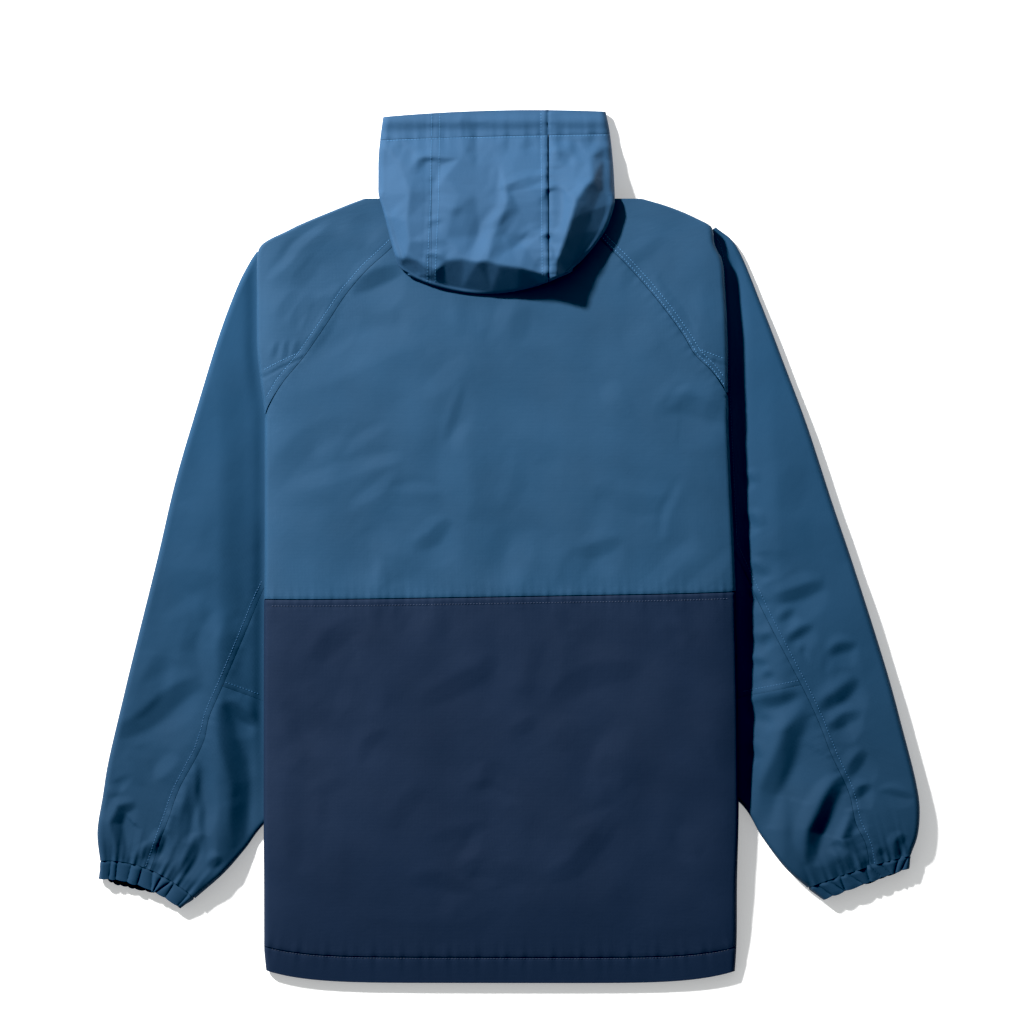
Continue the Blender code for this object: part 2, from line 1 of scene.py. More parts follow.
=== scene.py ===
"""Hooded anorak pullover in coated nylon, laid flat with its back up: cloth shells, sewing and light.

Cloth sizes are in millimetres in the garment's own frame: x from the centre back (the wearer's left
is -x), y up from the hem, z up from the table. to_frame() turns them to metres in the CAD frame.
"""
import math

import bpy
import numpy as np
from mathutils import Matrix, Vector
from mathutils.bvhtree import BVHTree
from mathutils.geometry import delaunay_2d_cdt


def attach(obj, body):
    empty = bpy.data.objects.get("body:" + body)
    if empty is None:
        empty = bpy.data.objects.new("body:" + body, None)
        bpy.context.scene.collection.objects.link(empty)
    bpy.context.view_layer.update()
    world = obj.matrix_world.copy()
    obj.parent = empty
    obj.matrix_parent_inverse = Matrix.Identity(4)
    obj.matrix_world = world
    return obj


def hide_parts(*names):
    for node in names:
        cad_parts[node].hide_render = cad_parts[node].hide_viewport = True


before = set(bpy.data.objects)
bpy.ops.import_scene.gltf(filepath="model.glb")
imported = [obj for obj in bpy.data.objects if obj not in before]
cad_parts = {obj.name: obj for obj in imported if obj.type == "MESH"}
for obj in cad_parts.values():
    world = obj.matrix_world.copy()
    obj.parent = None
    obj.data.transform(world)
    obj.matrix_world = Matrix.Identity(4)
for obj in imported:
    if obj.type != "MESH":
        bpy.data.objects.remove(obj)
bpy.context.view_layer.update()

CENTRE_X, CENTRE_Y = 8.5, 436.31    # middle of the laid garment
DOWN, HIGH_ABOVE = (0.0, 0.0, -1.0), 500.0   # way and start height of the rays that feel for the cloth
CLOTH = 0.9                    # coated shell cloth with its lining, pressed
SEAM = 0.3                     # gap between two pieces at a seam
SEAM_SHUT = 0.1                # the same where the seam hardly shows
SEAM_OPEN = 0.4                # from a seam that shows to the edge of its cloth
FOLD_RADIUS = 4.5              # roll of the cloth at a side fold
SIDES = {"left": 1.0, "right": -1.0}   # the two sides, and which way their stitching runs beside its seams

PRESSED = 9.3                  # thickness of a sleeve under the body
LIFT = PRESSED + SEAM          # height of the body where it lies on a sleeve
LIFT_X = (100.0, 148.0)        # over which the body's lower side climbs on to a sleeve, |x|
LIFT_Y = (105.0, 150.0)        # and y, from the hem up
SETTLE_Y = (757.0, 782.0)      # over which it sinks again towards the neck
SLEEVE_RISE = (12.0, 48.0)     # way out from the body's edge over which a sleeve fills out

HEM_Y, HEM_SEAM_Y, COLOUR_SEAM_Y = 0.0, 26.0, 386.5
BODY_HALF = 235.0              # half the width of the body
BOW_POWER = 6.0                # how squarely the body's rows turn up at its sides
ROW_POINTS, CUFF_POINTS, SEAM_POINTS = 25, 13, 37   # along the paths of these seams
ELBOW_SECTION = 5.0            # row of a sleeve table at which the under-sleeve is joined
NECK_Y = 784.0                 # neck seam, under the hood
ARMPITS = {"left": 564.0, "right": 585.5}

# Rows of the body: y at the centre, at the left fold and at the right fold
HEM_ROW = (HEM_Y, 12.5, 12.0)
HEM_SEAM_ROW = (HEM_SEAM_Y, 37.0, 36.4)
HIP_ROW = (62.0, 67.0, 67.0)
COLOUR_SEAM_ROW = (COLOUR_SEAM_Y, 384.0, 391.6)

# Side folds and shoulder line of the body: y, x of the left fold, x of the right fold
BODY_SIDES = (
    (0, -234, 235), (26, -236, 236.5), (100, -236, 237), (183, -236, 238.5), (385, -235.5, 235.3),
    (426, -235, 234), (523, -235, 229.6), (564, -235, 228), (580, -236.5, 228), (603, -239.5, 227.5),
    (642, -243, 227.3), (696, -243, 224.5), (725, -242.5, 221), (732, -241.5, 217), (738, -238, 214.5),
    (744, -229, 213.5), (750, -216, 213), (757, -202, 210), (764, -186, 197), (771, -169, 182),
    (778, -152, 163), (784, -136, 142),
)
# Height of the top layer: y, z
BODY_HEIGHT = ((0, 9), (26, 14), (60, 19), (120, 25), (200, 28), (386, 31.6), (560, 33), (635, 31.4),
               (700, 27.2), (734, 25.5), (760, 24), (784, 23))
# Shares of its height that the top layer loses towards each side, and right at the fold
LEFT_SINK, RIGHT_SINK, EDGE_SINK = 0.10, 0.06, 0.14

# Raglan seams on the back: y, x
RAGLANS = {
    "left": ((563.7, -235), (576.2, -230.5), (599.4, -217.1), (624.4, -196.6), (656.6, -174.3),
             (689, -153), (712, -133.2), (735, -108.2), (758, -90), (784, -73)),
    "right": ((585, 228), (597.6, 221), (612, 210.4), (628, 194.3), (646, 183.6), (671, 165.7),
              (697.6, 144.3), (721, 122.9), (740.5, 103), (761, 86), (784, 70)),
}
# Under-sleeve seams where they cross the sleeve heads: x, y at both ends
HEAD_SEAMS = {"left": ((-196.6, 624.4), (-219, 614), (-238, 604)),
              "right": ((194.3, 628.0), (212, 621), (226, 616))}

# Sections of the sleeves, cuff to shoulder: outer x, outer y, inner x, inner y, height, seam (share of
# the way from the outer fold at which the back seam runs), bow of the row
SLEEVE_LEFT = (
    (-400.0, 122.6, -304.5, 85.0, 15, 0.53, 11),
    (-402.6, 149.4, -276.5, 109.5, 19, 0.49, 8),
    (-397.0, 188.0, -255.0, 134.0, 20, 0.47, 4),
    (-391.3, 223.0, -235.0, 160.0, 19, 0.454, 0),
    (-378.0, 280.0, -180.0, 215.0, 18, 0.428, 0),
    (-366.0, 330.0, -180.0, 261.0, 18, 0.478, 0),
    (-343.0, 423.0, -181.0, 363.0, 16, 0.632, 0),
    (-324.5, 502.2, -184.0, 453.0, 15, 0.81, 0),
    (-303.0, 576.0, -192.0, 533.0, 13, 0.8, 0),
    (-281.0, 648.0, -202.0, 611.0, 11.5, 0.8, 0),
    (-263.0, 696.0, -214.0, 673.0, 10.5, 0.8, 0),
    (-251.0, 720.0, -225.0, 709.0, 9.3, 0.8, 0),
    (-243.5, 731.5, -231.0, 727.0, 9.3, 0.8, 0),
)
SLEEVE_RIGHT = (
    (410.9, 128.0, 307.0, 95.5, 15, 0.4, 2),
    (417.6, 148.2, 284.5, 116.0, 19, 0.39, 2),
    (419.6, 172.0, 262.0, 146.0, 20, 0.41, 0),
    (415.5, 203.0, 240.0, 180.0, 19, 0.39, 0),
    (401.5, 258.0, 190.0, 215.0, 18, 0.36, 0),
    (385.6, 316.0, 188.0, 275.0, 18, 0.43, 0),
    (354.3, 415.0, 184.0, 381.0, 16, 0.6, 0),
    (332.4, 480.0, 184.0, 447.0, 15, 0.72, 0),
    (307.0, 558.0, 190.0, 531.0, 13, 0.8, 0),
    (283.5, 621.0, 198.0, 598.0, 11.5, 0.8, 0),
    (262.5, 676.0, 208.0, 661.0, 10.5, 0.8, 0),
    (237.5, 735.5, 213.0, 724.0, 9.3, 0.8, 0),
    (216.0, 756.0, 205.0, 748.0, 9.3, 0.8, 0),
)
SLEEVE_TABLES = {"left": SLEEVE_LEFT, "right": SLEEVE_RIGHT}
# Open ends of the cuffs: outer x, outer y, inner x, inner y, height, bow
CUFF_ENDS = {"left": (-401.3, 104.0, -319.5, 74.5, 13, 8), "right": (409.5, 115.0, 323.0, 83.0, 13, 1)}
CUFF_GATHERS = 20

# Rows of the hood, face opening to crown: left x, left y, right x, right y, y at the middle, height
HOOD_ROWS = (
    (-117.0, 865.8, 105.8, 871.2, 872.2, 13),
    (-120.0, 843.0, 110.0, 849.0, 846.5, 17),
    (-121.7, 818.0, 113.0, 820.0, 819.0, 26),
    (-121.7, 796.0, 114.3, 796.0, 796.0, 36),
    (-120.5, 784.6, 114.5, 784.6, 784.6, 40),
    (-116.0, 769.0, 113.5, 774.0, 757.0, 47),
    (-110.0, 745.0, 106.0, 753.0, 731.0, 52),
    (-105.0, 727.0, 95.0, 737.0, 710.0, 51),
    (-100.5, 715.0, 83.0, 723.0, 698.0, 46),
    (-92.0, 709.5, 72.0, 712.5, 690.5, 0),
)
CASING_ROW, POUCH_ROW = 1.0, 4.0
HOOD_SEAM_LEFT, HOOD_SEAM_RIGHT, THROAT_SEAM = -68.0, 48.5, -3.0   # x of the hood's seams
HOOD_CLEAR = 0.4               # between the hood and the back that it lies on
CROWN_FOLD = 4.6               # thickness of the hood at its bottom fold
CASING_SINK = 0.15             # share of its height that the casing loses towards its ends

# Fold lines of the hood's upper side, below the casing: x, y, z along each
HOOD_FOLDS = (
    ((-132, 855, 13), (-119, 853, 14.5), (-95, 853, 15.5), (-66, 853, 16), (-30, 853, 16), (0, 853, 16),
     (25, 853, 16), (49, 853, 16), (80, 853, 15.5), (112, 853, 14), (126, 855, 12)),
    ((-132, 841, 14), (-119, 841, 16), (-95, 841, 18.5), (-66, 841, 20), (-30, 841, 20.5), (0, 841, 20.5),
     (25, 841, 20.5), (49, 841, 20), (80, 841, 19), (112, 841, 16), (126, 841, 14)),
    ((-130, 815, 17), (-121, 815, 18.5), (-100, 818, 29)),
    ((-124, 791, 26.5), (-115, 786, 30), (-90, 788, 41)),
    ((-124, 766, 29), (-114, 766, 32), (-93, 761, 45)),
    ((-114, 742, 32.5), (-107, 740, 35), (-90, 740, 47)),
    ((-108, 714, 34), (-99, 716, 36), (-94, 724, 45), (-80, 720, 45.5), (-64, 711, 48)),
    ((-80, 823, 28.5), (-67, 825, 29.5), (-59, 817, 28), (-54, 805, 36), (-67, 788, 38.5), (-67, 755, 46.5),
     (-70, 740, 50)),
    ((-67, 825, 29.5), (-40, 823, 30), (-22, 815, 31.5), (0, 820, 30)),
    ((-54, 805, 36), (-40, 786, 42), (-24, 786, 41.5), (0, 791, 40)),
    ((-40, 786, 42), (-48, 770, 47.5), (-53, 743, 50.5), (-53, 721, 53)),
    ((0, 820, 30), (-3, 776, 45.5), (-20, 745, 48), (-36, 722, 57)),
    ((12, 818, 32), (5, 796, 42.5), (7, 779, 48.5), (-7, 743, 53), (-13, 720, 61.5)),
    ((5, 796, 42.5), (16, 799, 41.5), (30, 801, 40), (46, 807, 38.5)),
    ((12, 787, 44.5), (30, 791, 45.5), (46, 793, 44)),
    ((20, 771, 46.5), (40, 776, 47.5), (46, 773, 47.5)),
    ((-7, 743, 53), (5, 746, 50.5), (20, 738, 49.5), (30, 750, 49.5), (46, 757, 49)),
    ((26, 733, 54.5), (38, 743, 55.5), (46, 747, 55.5)),
    ((-13, 720, 61.5), (0, 731, 55), (12, 731, 54.5), (26, 733, 54.5)),
    ((-64, 711, 48), (-53, 721, 53), (-36, 722, 57), (-22, 719, 60.5), (-13, 720, 61.5), (0, 716, 62),
     (20, 713, 61.5), (45, 706, 60.5), (56, 702, 60)),
    ((49, 825, 27.5), (60, 831, 27.5), (75, 825, 29.5), (90, 825, 29), (103, 823, 23)),
    ((49, 805, 36), (60, 797, 41), (75, 802, 42), (92, 802, 46), (102, 802, 33)),
    ((49, 788, 42), (62, 778, 47), (75, 779, 59), (60, 757, 53.5), (53, 751, 52)),
    ((49, 743, 51.5), (56, 747, 55), (64, 742, 62.5), (57, 721, 62), (56, 702, 60)),
    ((92, 802, 46), (84, 793, 52), (75, 779, 59), (70, 761, 61.5), (64, 742, 62.5)),
    ((100, 788, 39), (93, 771, 46), (84, 748, 47.5), (74, 727, 49), (66, 709, 48)),
    ((103, 823, 23), (113, 823, 18), (124, 823, 16)),
    ((102, 802, 33), (115, 802, 25), (126, 802, 25)),
    ((100, 788, 39), (114, 779, 33), (126, 777, 33)),
    ((106, 752, 36), (118, 746, 36)),
    ((92, 732, 38), (104, 721, 38)),
    ((-104, 693, 33), (-83, 706, 34), (-62, 698, 34), (-38, 693.5, 33), (-9, 688.5, 33.5), (18, 687, 34.5),
     (44, 695, 40), (71, 711, 43), (92, 732, 38), (106, 752, 36), (114, 779, 33)),
    ((-108, 673, 30), (-60, 668, 33), (-9, 663, 34), (45, 668, 36), (90, 691, 39), (118, 721, 37),
     (134, 753, 36)),
)

# Creases: the way they run (x, y points), half the width of their flank, and its drop. The flank falls
# away from the hood and the left sleeve; where the drop is negative it rises instead.
BODY_CREASES = (
    (((-232, 493), (-215, 523), (-190, 543), (-155, 558)), 13, 2.02),
    (((-88, 436), (-66, 445), (-48, 463)), 7.5, 2.02), (((27, 675), (20, 658), (14, 640)), 10, 1.4),
    (((-38, 682), (-26, 650)), 8.8, 1.2), (((0, 535), (40, 528), (60, 531)), 12, 1.07),
    (((95, 490), (135, 480), (185, 478)), 10, 1.55), (((78, 428), (100, 436), (122, 443)), 7.5, 1.78),
    (((140, 393), (165, 415), (198, 438)), 9, -1.31),
    (((152, 575), (180, 580), (205, 571), (230, 563)), 11.2, 2.86),
    (((170, 690), (196, 640), (212, 620)), 6, -0.9), (((100, 560), (120, 610), (110, 660)), 22, -1),
    (((-60, 600), (-20, 590), (30, 605)), 24, 1.26), (((200, 540), (205, 470), (212, 400)), 14, 1.07),
    (((-155, 697), (-168, 665), (-190, 630)), 7.5, 2.2), (((-150, 694), (-124, 704), (-96, 712)), 8.8, 4.4),
    (((-170, 690), (-183, 672), (-195, 650)), 6.2, 1.6), (((-186, 690), (-208, 655)), 6.2, 1.3),
    (((-204, 692), (-222, 662)), 6.2, 1.1), (((-222, 641), (-228, 622)), 3, 1.2),
    (((-211, 642), (-217, 621)), 3, 1.2), (((-200, 642), (-207, 625)), 3, 1.1),
    (((-216, 742), (-180, 730), (-145, 742)), 14, 1.5), (((-150, 770), (-130, 740)), 10, 1.2),
    (((155, 708), (176, 675), (194, 650)), 5, 1.8), (((150, 755), (170, 700)), 14, 1),
    (((205, 700), (212, 660)), 8, 1), (((-188, 323), (-170, 343), (-150, 355), (-133, 356)), 11, 1.74),
    (((-82, 283), (-50, 293), (-20, 308), (-3, 330)), 11, 1.74),
    (((50, 283), (75, 298), (105, 311), (145, 319)), 12.32, 1.74), (((55, 230), (78, 262)), 11, 0.96),
    (((-36, 189), (-15, 196), (10, 188)), 9.68, 1.13),
    (((45, 102), (75, 120), (103, 148), (121, 172)), 11, 1.74),
    (((-50, 123), (0, 112), (45, 102)), 9.68, 1.05),
    (((-146, 67), (-118, 56), (-78, 50), (-30, 54), (6, 71)), 9.68, 1.57),
    (((-188, 192), (-150, 201)), 6.82, 0.69), (((140, 45), (190, 52), (226, 48)), 6.82, 0.87),
    (((-205, 160), (-203, 110)), 8.8, 0.69), (((-101, 384), (-98, 350)), 7.5, 0.95),
    (((-60, 384), (-57, 345)), 7.5, 0.95), (((60, 384), (63, 352)), 7.5, 0.95),
    (((140, 386), (150, 352)), 7.5, 0.95), (((182, 386), (190, 350)), 7.5, 0.95),
    (((-120, 388), (-112, 420)), 7.5, 0.59), (((30, 388), (22, 420)), 7.5, 0.59),
    (((150, 392), (160, 425)), 7.5, 0.59), (((-205, 603), (-140, 631), (-78, 647)), 17, -3),
    (((-42, 558), (-45, 463)), 17, -2.55), (((-170, 398), (-165, 438), (-150, 473)), 20, 2.04),
    (((-215, 491), (-160, 513), (-100, 525)), 9, -1.36),
    (((-150, 476), (-125, 493), (-102, 513)), 6, -1.19),
    (((-115, 400), (-120, 433), (-125, 458)), 13, -1.87), (((-30, 403), (-20, 443), (-8, 483)), 22, 2.21),
    (((8, 395), (20, 428), (30, 455)), 13, -1.7), (((60, 395), (75, 418), (100, 438)), 13, 2.04),
    (((125, 631), (155, 653)), 14, -1.5), (((140, 438), (190, 463)), 16, 1.36),
    (((-182, 275), (-178, 323)), 11, 0.87), (((-142, 331), (-132, 303), (-120, 273)), 11, -1.45),
    (((-80, 373), (-78, 338)), 7.7, -0.77), (((12, 371), (15, 333), (5, 293)), 16.5, -1.93),
    (((90, 183), (105, 223), (125, 268)), 14.3, -1.45), (((-55, 88), (-48, 63)), 7.7, -0.87),
    (((-215, 371), (-215, 303)), 16.5, -0.97), (((175, 338), (172, 273)), 15.4, 0.73),
    (((-204, 273), (-206, 113)), 9.9, 0.73), (((-165, 168), (-168, 83)), 9.9, -0.77),
    (((140, 223), (140, 133)), 17.6, 0.58), (((-171, 763), (-205, 733), (-233, 700)), 5, -1.8),
    (((-184, 728), (-205, 693)), 9, 1.6), (((-150, 762), (-135, 735)), 8, 1),
)
SLEEVE_CREASES = (
    (((-386, 248), (-350, 268), (-315, 292), (-296, 301)), 11.2, 6),
    (((-335, 328), (-350, 293), (-370, 266)), 12.5, 4.05),
    (((-280, 374), (-292, 335), (-288, 300)), 10, -3.6),
    (((-330, 406), (-290, 396), (-262, 381)), 12.5, 2.16),
    (((-277, 281), (-268, 232), (-260, 200), (-259, 150), (-258, 136)), 11.2, 7.8),
    (((-275, 283), (-255, 268), (-238, 256)), 6.2, 5.4),
    (((-303, 230), (-299, 183), (-294, 126)), 3.8, 3.51),
    (((-305, 216), (-309, 180), (-318, 142), (-333, 122)), 7.5, 6.75),
    (((-325, 178), (-328, 138)), 3.8, 3.24), (((-300, 150), (-308, 125), (-318, 108)), 6.2, 7.43),
    (((-362, 178), (-378, 174), (-384, 160), (-377, 138), (-372, 126)), 6.2, 6.75),
    (((-350, 142), (-354, 123)), 4.4, 4.86), (((-335, 154), (-347, 122)), 5, 6.21),
    (((-388, 200), (-380, 190)), 5, 2.03), (((-366, 236), (-352, 200)), 10, 2.43),
    (((-292, 118), (-276, 124)), 5, 4.05), (((-345, 205), (-322, 230)), 7, -1.92),
    (((-330, 470), (-300, 440)), 14, 1.62), (((-300, 560), (-280, 500)), 14, -1.2),
    (((271, 384), (300, 391), (326, 398)), 7.5, 4.59), (((275, 363), (296, 373)), 4.4, 2.97),
    (((284, 342), (300, 350), (313, 358)), 5, 4.05), (((298, 332), (306, 336)), 3.8, 2.16),
    (((328, 328), (340, 335), (356, 339)), 5.6, 4.05), (((318, 273), (335, 285), (358, 305)), 7.5, 6.21),
    (((326, 254), (345, 266), (362, 269)), 6.2, 4.86), (((345, 207), (356, 221), (366, 233)), 6.2, 4.2),
    (((350, 185), (362, 193), (371, 197)), 5, 4.05),
    (((298, 293), (275, 283), (257, 278), (242, 268)), 7.5, 6.75),
    (((310, 274), (290, 248), (278, 215), (268, 190), (264, 155)), 12, 11),
    (((345, 207), (328, 180), (313, 152), (311, 118)), 8.8, 11.5),
    (((353, 175), (347, 146), (363, 120), (370, 106)), 5, 7),
    (((330, 138), (345, 128), (352, 115)), 5, 4.59), (((405, 149), (398, 140), (397, 127)), 5, 3.6),
    (((378, 193), (398, 190), (414, 187)), 3.8, 2.03), (((378, 128), (384, 136)), 3.8, 1.6),
    (((262, 308), (274, 309)), 3.8, 2.7), (((262, 349), (274, 347)), 3.8, 3.24),
    (((290, 215), (300, 180), (296, 140)), 8, -2.4), (((300, 520), (280, 470)), 14, 1.62),
    (((320, 470), (330, 420)), 12, -1.2), (((255, 430), (262, 400)), 10, 2.7),
    (((246, 470), (262, 455)), 5, 3.38), (((248, 420), (270, 408)), 5, 3.38),
    (((246, 395), (268, 378)), 4, 2.97), (((250, 350), (272, 338)), 5, 3.38),
    (((248, 325), (268, 318)), 4, 2.7), (((250, 270), (275, 262)), 5, 3.38),
    (((246, 240), (262, 225)), 5, 3.38), (((244, 510), (258, 500)), 4, 2.7),
)
HOOD_CREASES = (
    (((-90, 805), (-80, 820), (-62, 824)), 5, 1.6), (((-98, 843), (-108, 823)), 5, 1.8),
    (((-90, 833), (-96, 818)), 5, 1.5), (((-33, 871), (-36, 858), (-30, 843), (-25, 818)), 6.2, 2.2),
    (((0, 823), (5, 843)), 5, 1.6), (((20, 833), (36, 845)), 5, 1.5), (((54, 818), (60, 835)), 4.4, 2),
    (((66, 823), (72, 843)), 5, 2), (((77, 818), (74, 843)), 5, 2), (((83, 833), (91, 848)), 5, 1.8),
    (((97, 818), (102, 842)), 4, 1.6), (((-75, 745), (-62, 740), (-52, 736)), 3.8, 1.6),
    (((-72, 726), (-56, 718)), 3.8, 1.6), (((50, 738), (62, 748)), 5, 2), (((40, 725), (50, 718)), 5, 1.6),
    (((-12, 722), (20, 742)), 5, 1.2), (((-60, 800), (-40, 790), (-20, 786)), 6, -0.9),
    (((2, 789), (20, 797), (47, 806)), 5, 3), (((20, 741), (45, 755)), 4, 2.6),
    (((-28, 715), (-4, 774)), 6, -3), (((-85, 816), (-70, 826)), 4, 2), (((-72, 757), (-56, 761)), 3, 2),
    (((-72, 727), (-53, 721)), 3, 2), (((-96, 727), (-62, 700)), 3.5, 2.4),
    (((54, 843), (70, 813)), 5, 2.6), (((-18, 752), (0, 760), (16, 772)), 4, 1.8),
    (((-60, 775), (-45, 768), (-35, 772)), 4, 1.4), (((52, 790), (66, 792), (80, 800)), 5, 2),
)

# Colours of the cloth and of its thread. The hood's blue is the blue cloth painted lighter as painted light;
# the sleeves' blue and the inside blue are it painted darker as painted shade
BLUE, HOOD_LIT_BLUE, SLEEVE_SHADED_BLUE, BLUE_INSIDE_SHADED, NAVY = "#0f3b59", "#1e4464", "#193e5b", "#04263f", "#0f1f35"
BLUE_THREAD, SLEEVE_THREAD, NAVY_THREAD, HEM_THREAD = "#3d719b", "#23537a", "#27354f", "#121e35"


# ---------------------------------------------------------------- lengths, curves and tables

def ramp(value, start, end):
    """Rises smoothly from 0 at start to 1 at end."""
    share = np.clip((value - start) / (end - start), 0.0, 1.0)
    return share * share * (3.0 - 2.0 * share)


def smooth(rows, column, at):
    """Value of a table's column at a place in its first column, along a curve without overshoot."""
    table = np.array(rows, float)
    table = table[np.argsort(table[:, 0])]
    place, value = table[:, 0], table[:, column]
    step = np.diff(place)
    slope = np.diff(value) / step
    tangent = np.concatenate(([slope[0]], (slope[:-1] + slope[1:]) / 2.0, [slope[-1]]))
    tangent[1:-1][slope[:-1] * slope[1:] <= 0.0] = 0.0
    at = np.clip(np.asarray(at, float), place[0], place[-1])
    cell = np.clip(np.searchsorted(place, at, side="right") - 1, 0, len(step) - 1)
    share = (at - place[cell]) / step[cell]
    rest = 1.0 - share
    return ((1.0 + 2.0 * share) * rest ** 2 * value[cell] + share * rest ** 2 * step[cell] * tangent[cell]
            + share ** 2 * (3.0 - 2.0 * share) * value[cell + 1]
            - share ** 2 * rest * step[cell] * tangent[cell + 1])


def along_path(path, x, y):
    """Distance to the left of a path, and length along it, of the nearest place to each point."""
    path = np.array(path, float)
    x, y = np.broadcast_arrays(np.asarray(x, float), np.asarray(y, float))
    best = np.full(x.shape, 1e9)
    side, length = np.zeros(x.shape), np.zeros(x.shape)
    start = 0.0
    for (x0, y0), (x1, y1) in zip(path[:-1], path[1:]):
        dx, dy = x1 - x0, y1 - y0
        size = math.hypot(dx, dy)
        share = np.clip(((x - x0) * dx + (y - y0) * dy) / size ** 2, 0.0, 1.0)
        off_x, off_y = x - x0 - share * dx, y - y0 - share * dy
        off = np.hypot(off_x, off_y)
        near = off < best
        best = np.where(near, off, best)
        side = np.where(near, np.where(dx * off_y - dy * off_x >= 0.0, off, -off), side)
        length = np.where(near, start + share * size, length)
        start += size
    return side, length


def wobble(length, pitch, seed):
    """Uneven waves of about the given pitch, from -1 to 1, along a length."""
    phases = np.random.default_rng(seed).uniform(0.0, 2.0 * math.pi, 4)
    waves = ((0.45, 1.0), (0.3, 0.63), (0.25, 1.7), (0.2, 3.1))     # weight, stretch of the pitch
    return sum(weight * np.sin(2.0 * math.pi * length / (pitch * stretch) + phase)
               for phase, (weight, stretch) in zip(phases, waves))


def billow(x, y, size, seed):
    """Broad uneven swell of the cloth, from about -1 to 1, with hills of the given size."""
    random = np.random.default_rng(seed)
    total = 0.0
    for _ in range(6):
        way, phase = random.uniform(0.0, math.pi), random.uniform(0.0, 2.0 * math.pi)
        pitch = size * random.uniform(1.3, 2.6)
        total = total + np.sin(2.0 * math.pi * (x * math.cos(way) + y * math.sin(way)) / pitch + phase)
    return total / 3.0


CREST_REST, VALLEY_REST = 2.6, 4.0   # half widths from a crease to where the cloth is level again
CREST_SHARE = 0.42             # share of a crease's drop that stands above the level cloth
CREASE_SWAY, SWAY_PITCH = 0.18, 1.6  # how far a crease strays from its path, and how often, in half widths
CREASE_EASE = 0.2              # half widths by which its edges are eased


def creases(table, x, y):
    """Height that the creases add: each is a flat flank between a crest and a valley."""
    x, y = np.broadcast_arrays(np.asarray(x, float), np.asarray(y, float))
    height = np.zeros(x.shape)
    for number, (path, half_width, drop) in enumerate(table):
        if path[-1][0] - path[0][0] + path[-1][1] - path[0][1] < 0.0:
            path = path[::-1]
        reach = VALLEY_REST * half_width
        (x0, y0), (x1, y1) = np.min(path, axis=0) - reach, np.max(path, axis=0) + reach
        near = (x > x0) & (x < x1) & (y > y0) & (y < y1)
        if not near.any():
            continue
        side, length = along_path(path, x[near], y[near])
        total = sum(math.dist(a, b) for a, b in zip(path[:-1], path[1:]))
        side = side + CREASE_SWAY * half_width * np.sin(length / (SWAY_PITCH * half_width) + number)
        fade = np.abs(np.sin(math.pi * length / total)) ** 0.8
        off = side / (half_width * (0.5 + 0.5 * fade))
        level = sum(np.interp(off + shift, (-VALLEY_REST, -1.0, 1.0, CREST_REST),
                              (0.0, CREST_SHARE - 1.0, CREST_SHARE, 0.0))
                    for shift in (-CREASE_EASE, 0.0, CREASE_EASE)) / 3.0
        height[near] += drop * fade * level
    return height


def scattered(seed, count, box, way, spread, length, half_width, depth):
    """Table of small stray creases: in a box (x0, y0, x1, y1), running about a way (degrees)."""
    random = np.random.default_rng(seed)
    table = []
    for _ in range(count):
        x, y = random.uniform(box[0], box[2]), random.uniform(box[1], box[3])
        angle = math.radians(way + random.normal(0.0, spread))
        reach = length * random.uniform(0.5, 1.5) / 2.0
        bend = random.uniform(-0.25, 0.25) * reach
        dx, dy = math.cos(angle), math.sin(angle)
        path = ((x - dx * reach, y - dy * reach), (x - dy * bend, y + dx * bend),
                (x + dx * reach, y + dy * reach))
        deep = depth * random.uniform(0.4, 1.3) * random.choice((1.0, -1.0))
        table.append((path, half_width * random.uniform(0.6, 1.5), deep))
    return tuple(table)


GROOVE_HALF = 1.3              # half width of the groove at a sewn join
PUCKER_DETAIL, DETAIL_SHARE = 0.37, 0.25   # pitch and height of a pucker's finer waves, as shares of its own
EDGE_RISE, EDGE_FALL, EDGE_SHARE = (0.6, 2.2), 1.6, 0.4   # ridge between a join and its topstitching
THREAD_SINK, THREAD_HALF = 0.2, 1.1   # depth and half width of the line that the stitches pull in


def seam_relief(path, x, y, pucker, reach, pitch, seed, stitched, groove):
    """Height round a seam: the sunk join, the flattened sewn edge, and puckers that fade out.

    pucker, reach and pitch are the height of the puckers, how far they run out and their spacing.
    stitched is how far to the left of the path the topstitch runs (negative for its right, 0 for
    none), and groove is the depth of the join.
    """
    side, length = along_path(path, x, y)
    off = np.abs(side)
    height = -groove * np.exp(-(off / GROOVE_HALF) ** 2)
    waves = wobble(length, pitch, seed) + DETAIL_SHARE * wobble(length, pitch * PUCKER_DETAIL, seed + 50)
    height = height + pucker * waves * np.exp(-off / reach)
    if stitched:
        row, sewn = np.sign(stitched) * side, abs(stitched)
        ridge = ramp(row, *EDGE_RISE) * (1.0 - ramp(row, sewn - EDGE_FALL, sewn))
        height = height + EDGE_SHARE * groove * ridge
        height = height - THREAD_SINK * np.exp(-((row - sewn) / THREAD_HALF) ** 2)
    return height


def with_seams(height, seams, x, y):
    """The height with the relief of each seam added: path, then the values that seam_relief names."""
    for path, *values in seams:
        height = height + seam_relief(path, x, y, *values)
    return height


# ---------------------------------------------------------------- the laid forms

def body_left(y):
    return smooth(BODY_SIDES, 1, y)


def body_right(y):
    return smooth(BODY_SIDES, 2, y)


def body_under(x, y):
    """Lower side of the body: the table in the middle, the sleeves' upper side at the edges."""
    over_sleeve = ramp(np.abs(x), *LIFT_X) * ramp(y, *LIFT_Y) * (1.0 - ramp(y, *SETTLE_Y))
    return LIFT * over_sleeve


def row_path(row):
    """Points along a row of the body from its left to its right, bowed as its three heights say."""
    share = np.linspace(0.0, 1.0, ROW_POINTS)
    middle, y_left, y_right = row
    y = y_left + (y_right - y_left) * share
    y += (middle - (y_left + y_right) / 2.0) * (1.0 - np.abs(2.0 * share - 1.0) ** BOW_POWER)
    return np.column_stack((-BODY_HALF + 2.0 * BODY_HALF * share, y))


